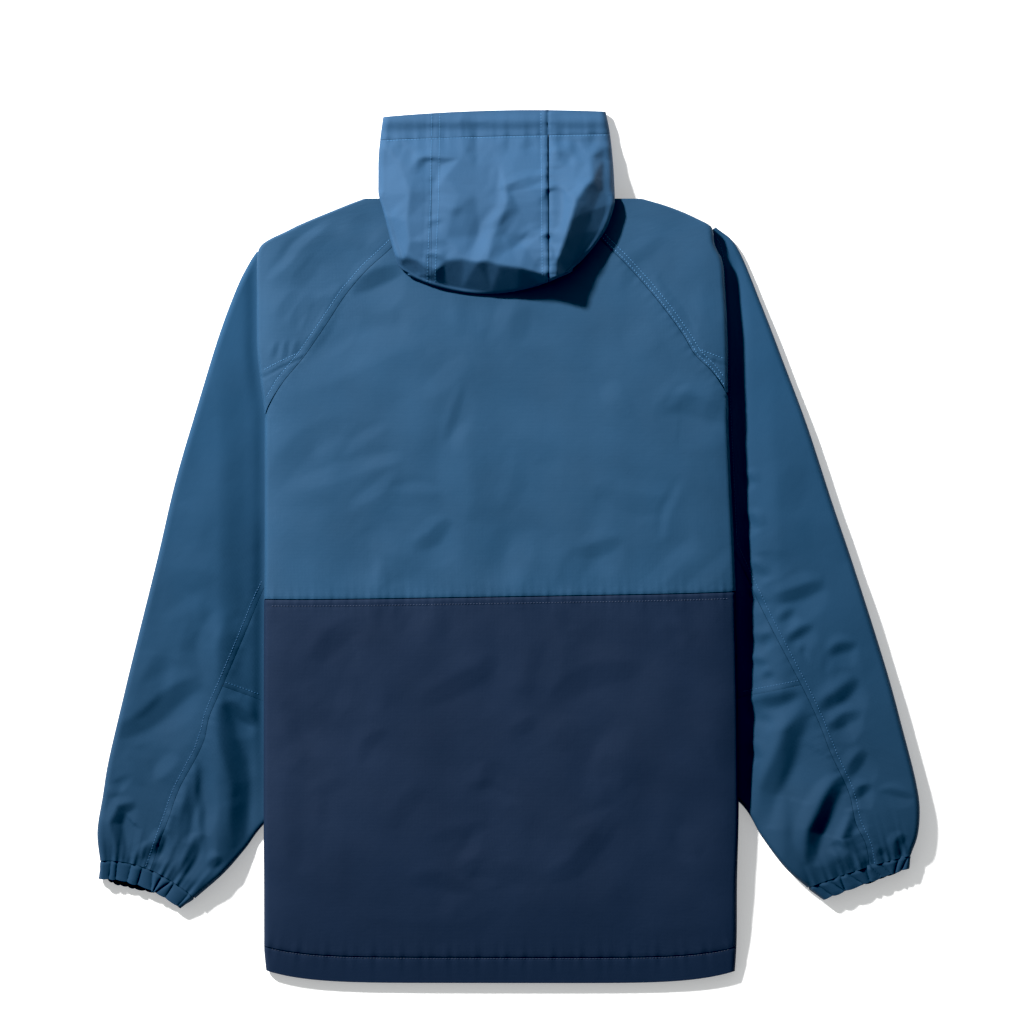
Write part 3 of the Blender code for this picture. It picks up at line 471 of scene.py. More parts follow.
def body_top(x, y):
    """Upper side of the body before its creases: what the hood lies on."""
    height = smooth(BODY_HEIGHT, 1, y)
    side_sink = np.where(np.asarray(x) < 0.0, LEFT_SINK, RIGHT_SINK)
    out = x / BODY_HALF
    return height * (1.0 - side_sink * out ** 2 - EDGE_SINK * np.abs(out) ** 16)


COLOUR_SEAM_PATH, HEM_SEAM_PATH = row_path(COLOUR_SEAM_ROW), row_path(HEM_SEAM_ROW)
RAGLAN_PATHS = {side: [(x, y) for y, x in table] for side, table in RAGLANS.items()}
TOPSTITCH = 6.5                # from a seam to its row of topstitching
HOOD_REACH = (-3.0, 772.0, 118.0, 84.0)   # middle and half sizes of the place that the hood covers
CREASE_FREE = (20.0, 110.0)    # over which the creases come in above the stiff hem, y

# Seams of the back: path, pucker, reach, pitch, seed, topstitch, groove
BODY_SEAMS = (
    (COLOUR_SEAM_PATH, 0.8, 7.0, 8.0, 11, -TOPSTITCH, 0.5),
    (HEM_SEAM_PATH, 0.6, 8.0, 15.0, 12, 0.0, 0.4),
    (RAGLAN_PATHS["left"], 0.4, 6.0, 9.0, 13, TOPSTITCH, 0.15),
    (RAGLAN_PATHS["right"], 0.6, 6.0, 9.0, 14, -TOPSTITCH, 0.5),
    (HEAD_SEAMS["left"], 0.3, 6.0, 10.0, 15, -TOPSTITCH, 0.6),
    (HEAD_SEAMS["right"], 0.3, 6.0, 10.0, 16, TOPSTITCH, 0.6),
)
BODY_STRAY = scattered(61, 56, (-220, 50, 220, 770), way=65.0, spread=50.0, length=50.0,
                       half_width=7.0, depth=0.9)


def body_relief(x, y):
    """What the creases, the seams and the swell of the cloth add to the body's upper side."""
    height = creases(BODY_CREASES + BODY_STRAY, x, y)
    height = height + billow(x, y, 80.0, 4) + 0.3 * billow(x, y, 30.0, 5)
    height = with_seams(height * ramp(y, *CREASE_FREE), BODY_SEAMS, x, y)
    x_mid, y_mid, half_x, half_y = HOOD_REACH
    under_hood = ramp(np.hypot((x - x_mid) / half_x, (y - y_mid) / half_y), 1.0, 0.9)
    return height * (1.0 - under_hood)


def body_top_fine(x, y):
    return body_top(x, y) + body_relief(x, y)


class Ring:
    """Closed outline of a flattened tube: from its left fold over the top to its right fold, and back.

    left and right are the fold's ends (x, y), middle_y is the row's y half-way between them, and top
    and under give the height of the two layers at (x, y). ARC and FLAT are the steps it is measured
    in, round each fold and between the folds.
    """
    ARC = 16
    FLAT = 340

    def __init__(self, left, right, middle_y, top, under, bow_power=2.0, radius=FOLD_RADIUS):
        left, right = np.array(left, float), np.array(right, float)
        width = np.hypot(*(right - left))
        bow = middle_y - (left[1] + right[1]) / 2.0

        def at(share):
            point = left[None, :] + (right - left)[None, :] * share[:, None]
            point[:, 1] += bow * (1.0 - np.abs(2.0 * share - 1.0) ** bow_power)
            return point

        def layers(share):
            point = at(share)
            return top(point[:, 0], point[:, 1]), under(point[:, 0], point[:, 1])

        rolls = []
        for end in (0.0, 1.0):
            high, low = (level[0] for level in layers(np.array([abs(end - radius / width)])))
            rolls.append(min(radius, (high - low) / 2.0) / width)
        angle = np.linspace(0.0, np.pi / 2.0, self.ARC + 1)
        flat = np.linspace(rolls[0], 1.0 - rolls[1], self.FLAT + 1)
        flat_top, flat_under = layers(flat)
        middle = (flat_top + flat_under) / 2.0
        half = (flat_top - flat_under) / 2.0
        share = np.concatenate((rolls[0] * (1.0 - np.cos(angle[:-1])), flat,
                                1.0 - rolls[1] * (1.0 - np.cos(angle[::-1][1:]))))
        rise, fall = np.sin(angle[:-1]), np.sin(angle[::-1][1:])
        high = np.concatenate((middle[0] + half[0] * rise, flat_top, middle[-1] + half[-1] * fall))
        low = np.concatenate((middle[0] - half[0] * rise, flat_under, middle[-1] - half[-1] * fall))
        plan = at(share)
        upper = np.column_stack((plan, high))
        lower = np.column_stack((plan, low))[::-1]
        self.points = np.vstack((upper, lower[1:]))
        gaps = np.linalg.norm(np.diff(self.points, axis=0), axis=1)
        self.length = np.concatenate(([0.0], np.cumsum(gaps)))
        self.share, self.tops = share, len(share)
        self.right = self.length[self.tops - 1]
        self.round = self.length[-1]

    def over(self, share):
        """Length along the ring at a share of the way across the top layer."""
        return float(np.interp(share, self.share, self.length[:self.tops]))

    def beneath(self, share):
        """Length along the ring at a share of the way across the under layer."""
        return float(np.interp(1.0 - share, (1.0 - self.share)[::-1], self.length[self.tops - 1:]))

    def share_at(self, x):
        """Share of the way across at an x."""
        left, right = self.points[0, 0], self.points[self.tops - 1, 0]
        return (x - left) / (right - left)

    def at(self, places):
        """Points at lengths along the ring, which may run on past its end."""
        places = np.mod(places, self.round)
        return np.column_stack([np.interp(places, self.length, self.points[:, k]) for k in range(3)])

    def stretch(self, stops, counts):
        """Points between lengths along the ring, with a count of steps between each two stops.

        Each row holds a point, the way along the ring there, and the length along the ring.
        """
        places = [np.linspace(a, b, n + 1)[:-1] for a, b, n in zip(stops, stops[1:], counts)]
        places = np.concatenate(places + [stops[-1:]])
        return np.hstack((self.at(places), self.at(places + 0.5) - self.at(places - 0.5), places[:, None]))


TURNED = np.array((1.0, 1.0, 1.0, -1.0, -1.0, -1.0, 1.0))   # a row read the other way round


# ---------------------------------------------------------------- meshes

def to_frame(points):
    """Garment millimetres to metres in the CAD frame."""
    return (np.asarray(points, float) - np.array((CENTRE_X, CENTRE_Y, 0.0))) / 1000.0


def linked(name, data):
    """A new object in the scene's collection."""
    made = bpy.data.objects.new(name, data)
    bpy.context.scene.collection.objects.link(made)
    return made


def mesh_object(name, points, faces, materials, cloth_map, face_slots):
    """Smooth cloth mesh with its map along the threads, in metres."""
    mesh = bpy.data.meshes.new(name)
    mesh.from_pydata(points.tolist(), [], faces.tolist())
    layer = mesh.uv_layers.new(name="cloth")
    corners = np.empty(len(mesh.loops), np.int32)
    mesh.loops.foreach_get("vertex_index", corners)
    layer.data.foreach_set("uv", cloth_map[corners].astype(np.float32).ravel())
    for made in materials:
        mesh.materials.append(made)
    mesh.polygons.foreach_set("material_index", face_slots.astype(np.int32))
    mesh.shade_smooth()
    mesh.set_sharp_from_angle(angle=math.radians(60.0))
    return linked(name, mesh)


PIECES = {}
# Cells round a cell: steps to it in row and column, and the two corners that they share
NEIGHBOURS = ((-1, 0, 0, 1), (0, 1, 1, 2), (1, 0, 2, 3), (0, -1, 3, 0))


def cloth_piece(name, finish, rows, replaces, skip=(), closed=False):
    """A thin closed shell of cloth over a grid of outer points; skip holds open cells (row, column)."""
    grid = np.array(rows, float)
    count, width = grid.shape[:2]
    outer, across = grid[..., :3], grid[..., 3:6]
    along = np.gradient(outer, axis=0)
    normal = np.cross(across, along)
    normal /= np.linalg.norm(normal, axis=2, keepdims=True)
    inner = outer - CLOTH * normal
    points = np.concatenate((outer.reshape(-1, 3), inner.reshape(-1, 3)))
    gaps = np.linalg.norm(np.diff(outer, axis=0), axis=2)
    run = np.concatenate((np.zeros((1, width)), np.cumsum(gaps, axis=0)))
    run = np.broadcast_to(run[:, width // 2][:, None], (count, width)) + outer[0, width // 2, 1]
    cloth_map = np.stack((grid[..., 6], run), axis=2).reshape(-1, 2) / 1000.0
    cloth_map = np.concatenate((cloth_map, cloth_map))

    columns = width if closed else width - 1
    used = np.ones((count - 1, columns), bool)
    for r, c in skip:
        used[r, c] = False
    r, c = np.nonzero(used)
    next_c = (c + 1) % width
    here, above = r * width, (r + 1) * width
    cell = np.stack((here + c, here + next_c, above + next_c, above + c), axis=1)
    inside = count * width
    faces = [cell, cell[:, ::-1] + inside]
    padded = np.zeros((count + 1, columns + 2), bool)
    padded[1:-1, 1:-1] = used
    if closed:
        padded[:, 0], padded[:, -1] = padded[:, -2], padded[:, 1]
    for step_r, step_c, a, b in NEIGHBOURS:
        rim = cell[~padded[r + 1 + step_r, c + 1 + step_c]]
        faces.append(np.stack((rim[:, b], rim[:, a], rim[:, a] + inside, rim[:, b] + inside), axis=1))
    slots = np.concatenate([np.full(len(part), 1 if k == 1 else 0) for k, part in enumerate(faces)])
    faces = np.concatenate(faces)
    kept, index = np.unique(faces, return_inverse=True)
    made = mesh_object(name, to_frame(points[kept]), index.reshape(faces.shape),
                       CLOTH_FINISHES[finish], cloth_map[kept], slots)
    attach(made, "root")
    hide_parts(*replaces)
    PIECES[name] = made


def steps(span, size):
    """Count of steps of about a size in a span."""
    return max(1, int(round(span / size)))


FINE, COARSE = ((2.4, 9.0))   # grid of the visible and the hidden layers
FINER, FINEST = FINE * 0.8, FINE * 0.7   # grid of the most folded cloth
FIRST_STEP = 1.2               # grid step beside a seam
ROLL_STEP = 2.2                # grid step round a side fold


# ---------------------------------------------------------------- finishes

def linear(hex_colour):
    """sRGB hex to linear RGBA."""
    parts = [int(hex_colour[k:k + 2], 16) / 255.0 for k in (1, 3, 5)]
    return (*[p / 12.92 if p <= 0.04045 else ((p + 0.055) / 1.055) ** 2.4 for p in parts], 1.0)


def add_node(tree, kind, settings=None, links=None):
    """Adds a node, sets its properties and sockets, and links sockets from (node, output) pairs.

    A number stands for a socket in its order, where the name isn't enough.
    """
    node = tree.nodes.new(kind)
    for key, value in (settings or {}).items():
        if isinstance(key, int) or (key in node.inputs and not hasattr(type(node), key)):
            node.inputs[key].default_value = value
        else:
            setattr(node, key, value)
    for key, (source, output) in (links or {}).items():
        tree.links.new(source.outputs[output], node.inputs[key])
    return node


def new_finish(name):
    made = bpy.data.materials.new(name)
    made.use_nodes = True
    tree = made.node_tree
    return made, tree, tree.nodes["Principled BSDF"]


THREAD_PITCH = 1.4e-3          # between the threads of the weave as drawn, metres
BANDS_FOR_ONE = 20.0           # the band texture's own waves in 2 pi of its scale
CRUMPLE_SHARE = 5.0            # height of the crumple beside that of the weave
TONE_SPREAD = 0.12             # how much darker and lighter than its colour the cloth gets
PAINTED_SHADE_ALONG = (0.14, 0.66)    # over which the painted shade on a sleeve fades out to its full tone, from the hem up, metres


def coated_nylon(name, colour, gloss, painted_shade_at_cuff=1.0):
    """Plain-weave nylon with a thin coating: dull sheen, fine crossed threads, slight crumple.

    The threads lie 0.3 mm apart on the real cloth. They are drawn 1.4 mm apart, as coarse as they
    need to be to show at all. painted_shade_at_cuff is the share of its tone that a sleeve keeps at its
    cuff: painted shade, darker towards the cuffs where the lower sleeves take less light.
    """
    made, tree, shader = new_finish(name)
    place = add_node(tree, "ShaderNodeUVMap", {"uv_map": "cloth"})
    on_cloth = {"Vector": (place, "UV")}
    across, along = [add_node(tree, "ShaderNodeTexWave", {
        "wave_type": "BANDS", "bands_direction": way, "Scale": 2.0 * math.pi / THREAD_PITCH / BANDS_FOR_ONE,
        "Distortion": 0.6, "Detail": 1.0, "Detail Scale": 0.4}, on_cloth) for way in ("X", "Y")]
    weave = add_node(tree, "ShaderNodeMath", {"operation": "MULTIPLY"},
                     {0: (across, "Fac"), 1: (along, "Fac")})
    crumple = add_node(tree, "ShaderNodeTexNoise", {"Scale": 95.0, "Detail": 4.0, "Roughness": 0.6},
                       on_cloth)
    relief = add_node(tree, "ShaderNodeMath", {"operation": "MULTIPLY_ADD", 1: CRUMPLE_SHARE},
                      {0: (crumple, "Fac"), 2: (weave, 0)})
    bump = add_node(tree, "ShaderNodeBump", {"Strength": 0.16, "Distance": 0.0003}, {"Height": (relief, 0)})
    tone = add_node(tree, "ShaderNodeTexNoise", {"Scale": 14.0, "Detail": 5.0}, on_cloth)
    base = linear(colour)[:3]
    shade = add_node(tree, "ShaderNodeMix", {"data_type": "RGBA"}, {"Factor": (tone, "Fac")})
    for socket in shade.inputs:
        if socket.type == "RGBA":
            spread = -TONE_SPREAD if socket.identifier.startswith("A") else TONE_SPREAD
            socket.default_value = tuple(min(1.0, c * (1.0 + spread)) for c in base) + (1.0,)
    colour_out = [o for o in shade.outputs if o.type == "RGBA"][0]
    # painted shade: the colour is scaled down towards the cuffs along the cloth map
    if painted_shade_at_cuff < 1.0:
        split = add_node(tree, "ShaderNodeSeparateXYZ", {}, on_cloth)
        share = add_node(tree, "ShaderNodeMapRange", {
            "From Min": PAINTED_SHADE_ALONG[0], "From Max": PAINTED_SHADE_ALONG[1], "To Min": painted_shade_at_cuff, "To Max": 1.0},
            {"Value": (split, "Y")})
        scaled = add_node(tree, "ShaderNodeVectorMath", {"operation": "SCALE"},
                          {"Scale": (share, "Result")})
        tree.links.new(colour_out, scaled.inputs[0])
        colour_out = scaled.outputs[0]
    tree.links.new(colour_out, shader.inputs["Base Color"])
    tree.links.new(bump.outputs[0], shader.inputs["Normal"])
    # the coating has the IOR of a polymer, and its finest crumple spreads the sheen wide
    shader.inputs["Roughness"].default_value = 0.8
    shader.inputs["IOR"].default_value = 1.5
    shader.inputs["Specular IOR Level"].default_value = gloss
    return made


def polyester_thread(name, colour):
    """Twisted sewing thread: smoother than the cloth, with a fine grain from its twist."""
    made, tree, shader = new_finish(name)
    place = add_node(tree, "ShaderNodeTexCoord")
    grain = add_node(tree, "ShaderNodeTexNoise", {"Scale": 900.0, "Detail": 2.0},
                     {"Vector": (place, "Object")})
    bump = add_node(tree, "ShaderNodeBump", {"Strength": 0.2, "Distance": 0.0001},
                    {"Height": (grain, "Fac")})
    tree.links.new(bump.outputs[0], shader.inputs["Normal"])
    shader.inputs["Base Color"].default_value = linear(colour)
    shader.inputs["Roughness"].default_value = 0.5
    return made


blue_nylon = coated_nylon("blue_coated_nylon", BLUE, 0.4)
# hood: the blue cloth as a lighter copy, painted light for the light the hood takes
hood_nylon_lit = coated_nylon("blue_coated_nylon_hood_painted_light", HOOD_LIT_BLUE, 0.36)
# inner side: the blue cloth as a darker copy, painted shade for inside the tubes and seam gaps
blue_inside_shaded = coated_nylon("blue_nylon_inside_painted_shade", BLUE_INSIDE_SHADED, 0.1)
navy_nylon = coated_nylon("navy_coated_nylon", NAVY, 0.2)
# sleeves: the blue cloth as a darker, duller copy with painted shade that deepens towards the cuffs
sleeve_nylon_shaded = coated_nylon("blue_coated_nylon_sleeve_painted_shade", SLEEVE_SHADED_BLUE, 0.2, painted_shade_at_cuff=0.62)
blue_thread = polyester_thread("blue_polyester_thread", BLUE_THREAD)
sleeve_thread = polyester_thread("blue_polyester_thread_sleeve", SLEEVE_THREAD)
navy_thread = polyester_thread("navy_polyester_thread", NAVY_THREAD)
hem_thread = polyester_thread("navy_polyester_thread_hem", HEM_THREAD)
# Finish of the outer and of the inner side of each cloth
CLOTH_FINISHES = {"blue_nylon": (blue_nylon, blue_inside_shaded), "navy_nylon": (navy_nylon, navy_nylon),
                  "sleeve": (sleeve_nylon_shaded, blue_inside_shaded), "hood": (hood_nylon_lit, blue_inside_shaded)}


# ---------------------------------------------------------------- body

ROLL_SPAN = 22.0               # cloth at each side of a fold that has its finer grid
BACK_WIDTH, SHOULDER_WIDTH = 430.0, 120.0   # between folds and seams, for the count of grid steps
FRONT_DROP = 3.0               # how far the seams of the front lie below those of the back
HEM_STEP = 3.0                 # most that a grid step of the hem is
# Rows that run straight across the body, between those that follow its bowed seams
WAIST_LEVEL, RIB_LEVEL, CHEST_LEVEL = (105.0,) * 3, (360.0,) * 3, (425.0,) * 3
SHOULDER_START, SHOULDER_EASE = 5.0, 40.0   # of its cloth above the armpit, and where its gap is normal


def body_ring(row):
    y_middle, y_left, y_right = row
    return Ring((float(body_left(y_middle)), y_left), (float(body_right(y_middle)), y_right), y_middle,
                body_top_fine, body_under, bow_power=BOW_POWER)


def rows_between(first, last, size):
    """Rows of the body from one to another, about a size apart."""
    first, last = np.array(first, float), np.array(last, float)
    count = steps(np.abs(last - first).max(), size)
    return [tuple(first + (last - first) * k / count) for k in range(count + 1)]


def raglan_share(ring, y, side, fold_share):
    """Share of the way across at which the back ends: its fold, or above the armpit the raglan seam."""
    if y <= ARMPITS[side]:
        return fold_share
    return ring.share_at(float(smooth(RAGLANS[side], 1, y)))


def body_panel(name, finish, rows, layer, replaces):
    grid = []
    size = FINE if layer == "back" else COARSE
    for row in rows:
        ring = body_ring(row)
        left, right = raglan_share(ring, row[0], "left", 0.0), raglan_share(ring, row[0], "right", 1.0)
        if layer == "back":
            start, end = ring.over(left) + SEAM_OPEN, ring.over(right) - SEAM_OPEN
        else:
            start, end = ring.beneath(right) + SEAM / 2.0, ring.beneath(left) - SEAM / 2.0
        stops = [start, start + FIRST_STEP, start + ROLL_SPAN, end - ROLL_SPAN, end - FIRST_STEP, end]
        roll = steps(ROLL_SPAN, ROLL_STEP)
        grid.append(ring.stretch(stops, (1, roll, steps(BACK_WIDTH, size), roll, 1)))
    cloth_piece(name, finish, grid, replaces)


def body():
    """Back and front: hem, lower and upper panel of each, which part at the side folds."""
    for layer in ("back", "front"):
        gap, drop, size = (SEAM_OPEN, 0.0, FINE) if layer == "back" else (SEAM / 2.0, FRONT_DROP, COARSE)
        hem_seam, colour_seam = (np.array(row) - drop for row in (HEM_SEAM_ROW, COLOUR_SEAM_ROW))
        hem_rows = (rows_between(HEM_ROW, hem_seam - gap - FIRST_STEP, min(size, HEM_STEP))
                    + [tuple(hem_seam - gap)])
        lower = ([tuple(hem_seam + gap)] + rows_between(hem_seam + gap + FIRST_STEP, HIP_ROW, size)[:-1]
                 + rows_between(HIP_ROW, WAIST_LEVEL, size)[:-1]
                 + rows_between(WAIST_LEVEL, RIB_LEVEL, size)[:-1]
                 + rows_between(RIB_LEVEL, colour_seam - gap - FIRST_STEP, size)
                 + [tuple(colour_seam - gap)])
        upper = ([tuple(colour_seam + gap)]
                 + rows_between(colour_seam + gap + FIRST_STEP, CHEST_LEVEL, size)[:-1]
                 + rows_between(CHEST_LEVEL, (NECK_Y - SEAM,) * 3, size))
        body_panel("hem_%s_cloth" % layer, "navy_nylon", hem_rows, layer, ("hem_" + layer,))
        body_panel("%s_lower_cloth" % layer, "navy_nylon", lower, layer, (layer + "_lower",))
        body_panel("%s_upper_cloth" % layer, "blue_nylon", upper, layer, (layer + "_upper",))


def shoulder(side):
    """Raglan sleeve head: from the back raglan seam round the shoulder fold to the front one."""
    armpit = ARMPITS[side]
    top, under = steps(SHOULDER_WIDTH, FINE), steps(SHOULDER_WIDTH, COARSE)
    roll = steps(ROLL_SPAN, ROLL_STEP)
    counts = (under, roll, roll, top) if side == "left" else (top, roll, roll, under)
    grid = []
    for y in np.linspace(armpit + SHOULDER_START, NECK_Y - SEAM, steps(NECK_Y - armpit, FINE) + 1):
        ring = body_ring((y, y, y))
        share = raglan_share(ring, y, side, None)
        ease = SEAM / 2.0 + 1.0 * (1.0 - float(ramp(y, armpit, armpit + SHOULDER_EASE)))
        over, beneath = ring.over(share), ring.beneath(share)
        if side == "left":
            first, fold, last = beneath - ring.round + ease, 0.0, over - ease
        else:
            first, fold, last = over + ease, ring.right, beneath - ease
        near = min(ROLL_SPAN, (last - fold) / 2.0, (fold - first) / 2.0)
        grid.append(ring.stretch([first, fold - near, fold, fold + near, last], counts))
    cloth_piece("shoulder_%s_cloth" % side, "blue_nylon", grid, ("shoulder_" + side,))


# ---------------------------------------------------------------- sleeves and cuffs

def section(side, place):
    """Values of a sleeve's table at a place between its rows."""
    table = np.array(SLEEVE_TABLES[side], float)
    numbered = np.column_stack((np.arange(len(table)), table))
    return [float(smooth(numbered, k, place)) for k in range(1, 8)]


def seam_point(side, place):
    x_out, y_out, x_in, y_in, _, seam, bow = section(side, place)
    raised = bow * (1.0 - (2.0 * seam - 1.0) ** 2)
    return x_out + (x_in - x_out) * seam, y_out + (y_in - y_out) * seam + raised


def cuff_line(side):
    """Where the sleeve is gathered into the cuff, from the outer fold to the inner one."""
    x_out, y_out, x_in, y_in, _, _, bow = section(side, 0.0)
    share = np.linspace(0.0, 1.0, CUFF_POINTS)
    y = y_out + (y_in - y_out) * share + bow * (1.0 - (2.0 * share - 1.0) ** 2)
    return np.column_stack((x_out + (x_in - x_out) * share, y))


LAST_SECTION = 12.0            # last row of a sleeve table
BACK_SEAM_PATHS = {side: [seam_point(side, place) for place in np.linspace(0.0, LAST_SECTION, SEAM_POINTS)]
                   for side in SIDES}
CUFF_LINES = {side: cuff_line(side) for side in SIDES}
ELBOW_PATHS = {side: [seam_point(side, ELBOW_SECTION), section(side, ELBOW_SECTION)[2:4]] for side in SIDES}
BACK_STITCH, ELBOW_STITCH = 5.5, 5.0   # from these seams to their topstitching

# Seams of a sleeve: path, pucker, reach, pitch, seed, topstitch, groove
SLEEVE_SEAMS = {side: ((BACK_SEAM_PATHS[side], 0.4, 6.0, 12.0, 24, sign * BACK_STITCH, 0.4),
                       (ELBOW_PATHS[side], 0.3, 6.0, 10.0, 25, sign * ELBOW_STITCH, 0.4))
                for side, sign in SIDES.items()}
# Its stray creases: seed, count, box, way, spread, length, half width, depth
SLEEVE_STRAY = {
    "left": scattered(62, 20, (-400, 110, -240, 420), 60.0, 40.0, 45.0, 6.0, 0.7)
    + scattered(63, 10, (-360, 400, -240, 720), 72.0, 20.0, 70.0, 8.0, 0.5),
    "right": scattered(64, 24, (240, 110, 420, 420), 120.0, 40.0, 40.0, 5.0, 0.7)
    + scattered(65, 10, (240, 400, 350, 720), 108.0, 20.0, 70.0, 8.0, 0.5)}
CUFF_PUCKER, CUFF_PUCKER_PITCH, CUFF_PUCKER_REACH = 1.5, 9.5, 16.0   # folds that the cuff gathers up
CUFF_PUCKER_SEEDS = {"left": 23, "right": 27}


def sleeve_relief(side, x, y):
    """What the creases, the cuff's gathers and the seams add to a sleeve's upper side."""
    height = creases(SLEEVE_CREASES + SLEEVE_STRAY[side], x, y) + 0.8 * billow(x, y, 60.0, 21)
    off, length = along_path(CUFF_LINES[side], x, y)
    folds = wobble(length, CUFF_PUCKER_PITCH, CUFF_PUCKER_SEEDS[side])
    height = height + CUFF_PUCKER * folds * np.exp(-np.abs(off) / CUFF_PUCKER_REACH)
    return with_seams(height, SLEEVE_SEAMS[side], x, y)


# How far a sleeve sinks beside the body, and how far out from its edge
SLEEVE_DIP = {"left": (4.5, 2.0), "right": (5.0, 11.0)}
DIP_HALF = 8.0                 # half width of the dip
DIP_START, DIP_EASE = (140.0, 200.0), (430.0, 480.0)   # over which it deepens, and halves again, y
RELIEF_START = (3.0, 16.0)     # over which a sleeve's creases come in, beside the body
LEAST_SLEEVE = 3.6             # thickness of a sleeve at the bottom of its folds


def sleeve_top(side, height):
    """Upper side of a sleeve: full height outside the body, pressed flat where the body lies on it."""
    depth, middle = SLEEVE_DIP[side]

    def level(x, y):
        outside = body_left(y) - x if side == "left" else x - body_right(y)
        deep = ramp(y, *DIP_START) * (1.0 - 0.5 * ramp(y, *DIP_EASE))
        dip = depth * deep * np.exp(-((outside - middle) / DIP_HALF) ** 2)
        full = PRESSED - dip + (height - PRESSED) * ramp(outside, *SLEEVE_RISE)
        return np.maximum(full + sleeve_relief(side, x, y) * ramp(outside, *RELIEF_START), LEAST_SLEEVE)
    return level


def table_top(x, y):
    """The table that the sleeves lie on."""
    return np.zeros(np.broadcast(x, y).shape)


def sleeve_ring(side, place):
    """Ring of a sleeve at a place along its table, and its seam's share of the way across."""
    x_out, y_out, x_in, y_in, height, seam, bow = section(side, place)
    left, right = (x_out, y_out), (x_in, y_in)
    if side == "right":
        left, right, seam = right, left, 1.0 - seam
    ring = Ring(left, right, (y_out + y_in) / 2.0 + bow, sleeve_top(side, height), table_top)
    return ring, seam


SLEEVE_WIDTH, SLEEVE_ROLL, SLEEVE_ROLL_STEP = 85.0, 12.0, 2.4   # for the count of grid steps
SEAM_STAGGER = 0.03            # share of a sleeve's width by which its lower seam lies beside its upper one
# Length of cloth between the rows of a sleeve table
SECTION_GAPS = (27.0, 37.0, 36.0, 56.0, 51.0, 94.0, 82.0, 77.0, 76.0, 51.0, 28.0, 15.0)
FINE_SECTIONS = 4              # of these, the ones by the cuff that have a finer grid
ELBOW_GAP = 0.001              # between the two under-sleeve panels, in rows of the table


def sleeve_panel(side, name, part, places, replaces):
    """A panel of a sleeve: its outer one or one of its under-sleeve, which part at the back seam."""
    grid = []
    at_left = (side == "left") == (part == "outer")
    top, under = steps(SLEEVE_WIDTH, FINE), steps(SLEEVE_WIDTH, COARSE)
    roll = steps(SLEEVE_ROLL, SLEEVE_ROLL_STEP)
    counts = (under, roll, roll, top) if at_left else (top, roll, roll, under)
    for place in places:
        ring, seam = sleeve_ring(side, place)
        over, beneath = ring.over(seam), ring.beneath(seam - SEAM_STAGGER)
        if at_left:
            first, fold, last = beneath - ring.round, 0.0, over
        else:
            first, fold, last = over, ring.right, beneath
        first, last = first + SEAM / 2.0, last - SEAM / 2.0
        before, after = min(SLEEVE_ROLL, (fold - first) / 2.0), min(SLEEVE_ROLL, (last - fold) / 2.0)
        grid.append(ring.stretch([first, fold - before, fold, fold + after, last], counts))
    cloth_piece(name, "sleeve", grid, replaces)


def sleeve_places(first, last):
    """Places along the sleeve table, about one grid step apart on the cloth."""
    places = [first]
    while places[-1] < last - 1e-6:
        here = min(int(places[-1]), len(SECTION_GAPS) - 1)
        size = FINER if here < FINE_SECTIONS else FINE
        places.append(min(last, places[-1] + size / SECTION_GAPS[here]))
    return places


def sleeve(side):
    """Outer panel and the two of the under-sleeve, which are joined at the elbow."""
    panels = (("sleeve", "outer", 0.0, LAST_SECTION),
              ("under_lower", "under", 0.0, ELBOW_SECTION - ELBOW_GAP),
              ("under_upper", "under", ELBOW_SECTION + ELBOW_GAP, LAST_SECTION))
    for panel, part, first, last in panels:
        sleeve_panel(side, "%s_%s_cloth" % (panel, side), part, sleeve_places(first, last),
                     ("%s_%s" % (panel, side),))


CUFF_MOUTH = {"left": 5.5, "right": 2.0}   # how far the lower edge shows beyond the upper one
CUFF_GAP = 0.4                 # between the sleeve and its cuff
CUFF_SEEDS = {"left": 31, "right": 41}
CUFF_ROWS = 17                 # rows of its grid from the sleeve to its mouth
GATHER_STEPS = 18   # grid steps in an even gather
GATHER_WIDTHS, GATHER_CRESTS = (0.5, 1.5), (0.75, 1.5)   # as shares of an even gather's
GATHER_SLANT = 0.9             # most that a gather leans, in gathers
GATHER_LEVEL = 0.9             # height of a gather's mean above its valley
GATHER_HEIGHT = 2.0            # height of an even gather
TUCK_DEPTH, TUCK_IN, TUCK_REACH = 1.2, 2.2, 0.08   # how the sleeve's edge dives into the cuff
SCALLOP = 1.2                  # how far the gathers wave the cuff's lip
CUFF_RAISED = (1.5, 7.0)       # heights over which they come in, above the table


def gathers(side):
    """Edges, slants and crest heights of a cuff's gathers round it, uneven as elastic makes them."""
    random = np.random.default_rng(CUFF_SEEDS[side])
    widths = random.uniform(*GATHER_WIDTHS, CUFF_GATHERS)
    edges = np.concatenate(([0.0], np.cumsum(widths))) / widths.sum()
    slants = random.uniform(-GATHER_SLANT, GATHER_SLANT, CUFF_GATHERS + 1) / CUFF_GATHERS
    slants[-1] = slants[0]
    return edges, slants, random.uniform(*GATHER_CRESTS, CUFF_GATHERS)


def gather_wave(turn, edges, crests):
    """Height of the gathers at shares of the way round: broad crests with narrow valleys."""
    number = np.interp(np.where(turn < edges[0], turn + 1.0, turn), edges, np.arange(CUFF_GATHERS + 1.0))
    which = np.minimum(number.astype(int), CUFF_GATHERS - 1)
    return crests[which] * np.sin(np.pi * (number - which)) ** 0.5 - GATHER_LEVEL


def cuff_gape(side, height, across, z):
    """How far the lower edge comes out below the gathers, from 0 to 1."""
    across = across if side == "left" else 1.0 - across
    low = 1.0 - ramp(z, 0.2 * height, 0.5 * height)
    return low * ramp(across, 0.03, 0.25) * (1.0 - ramp(across, 0.42, 0.8))


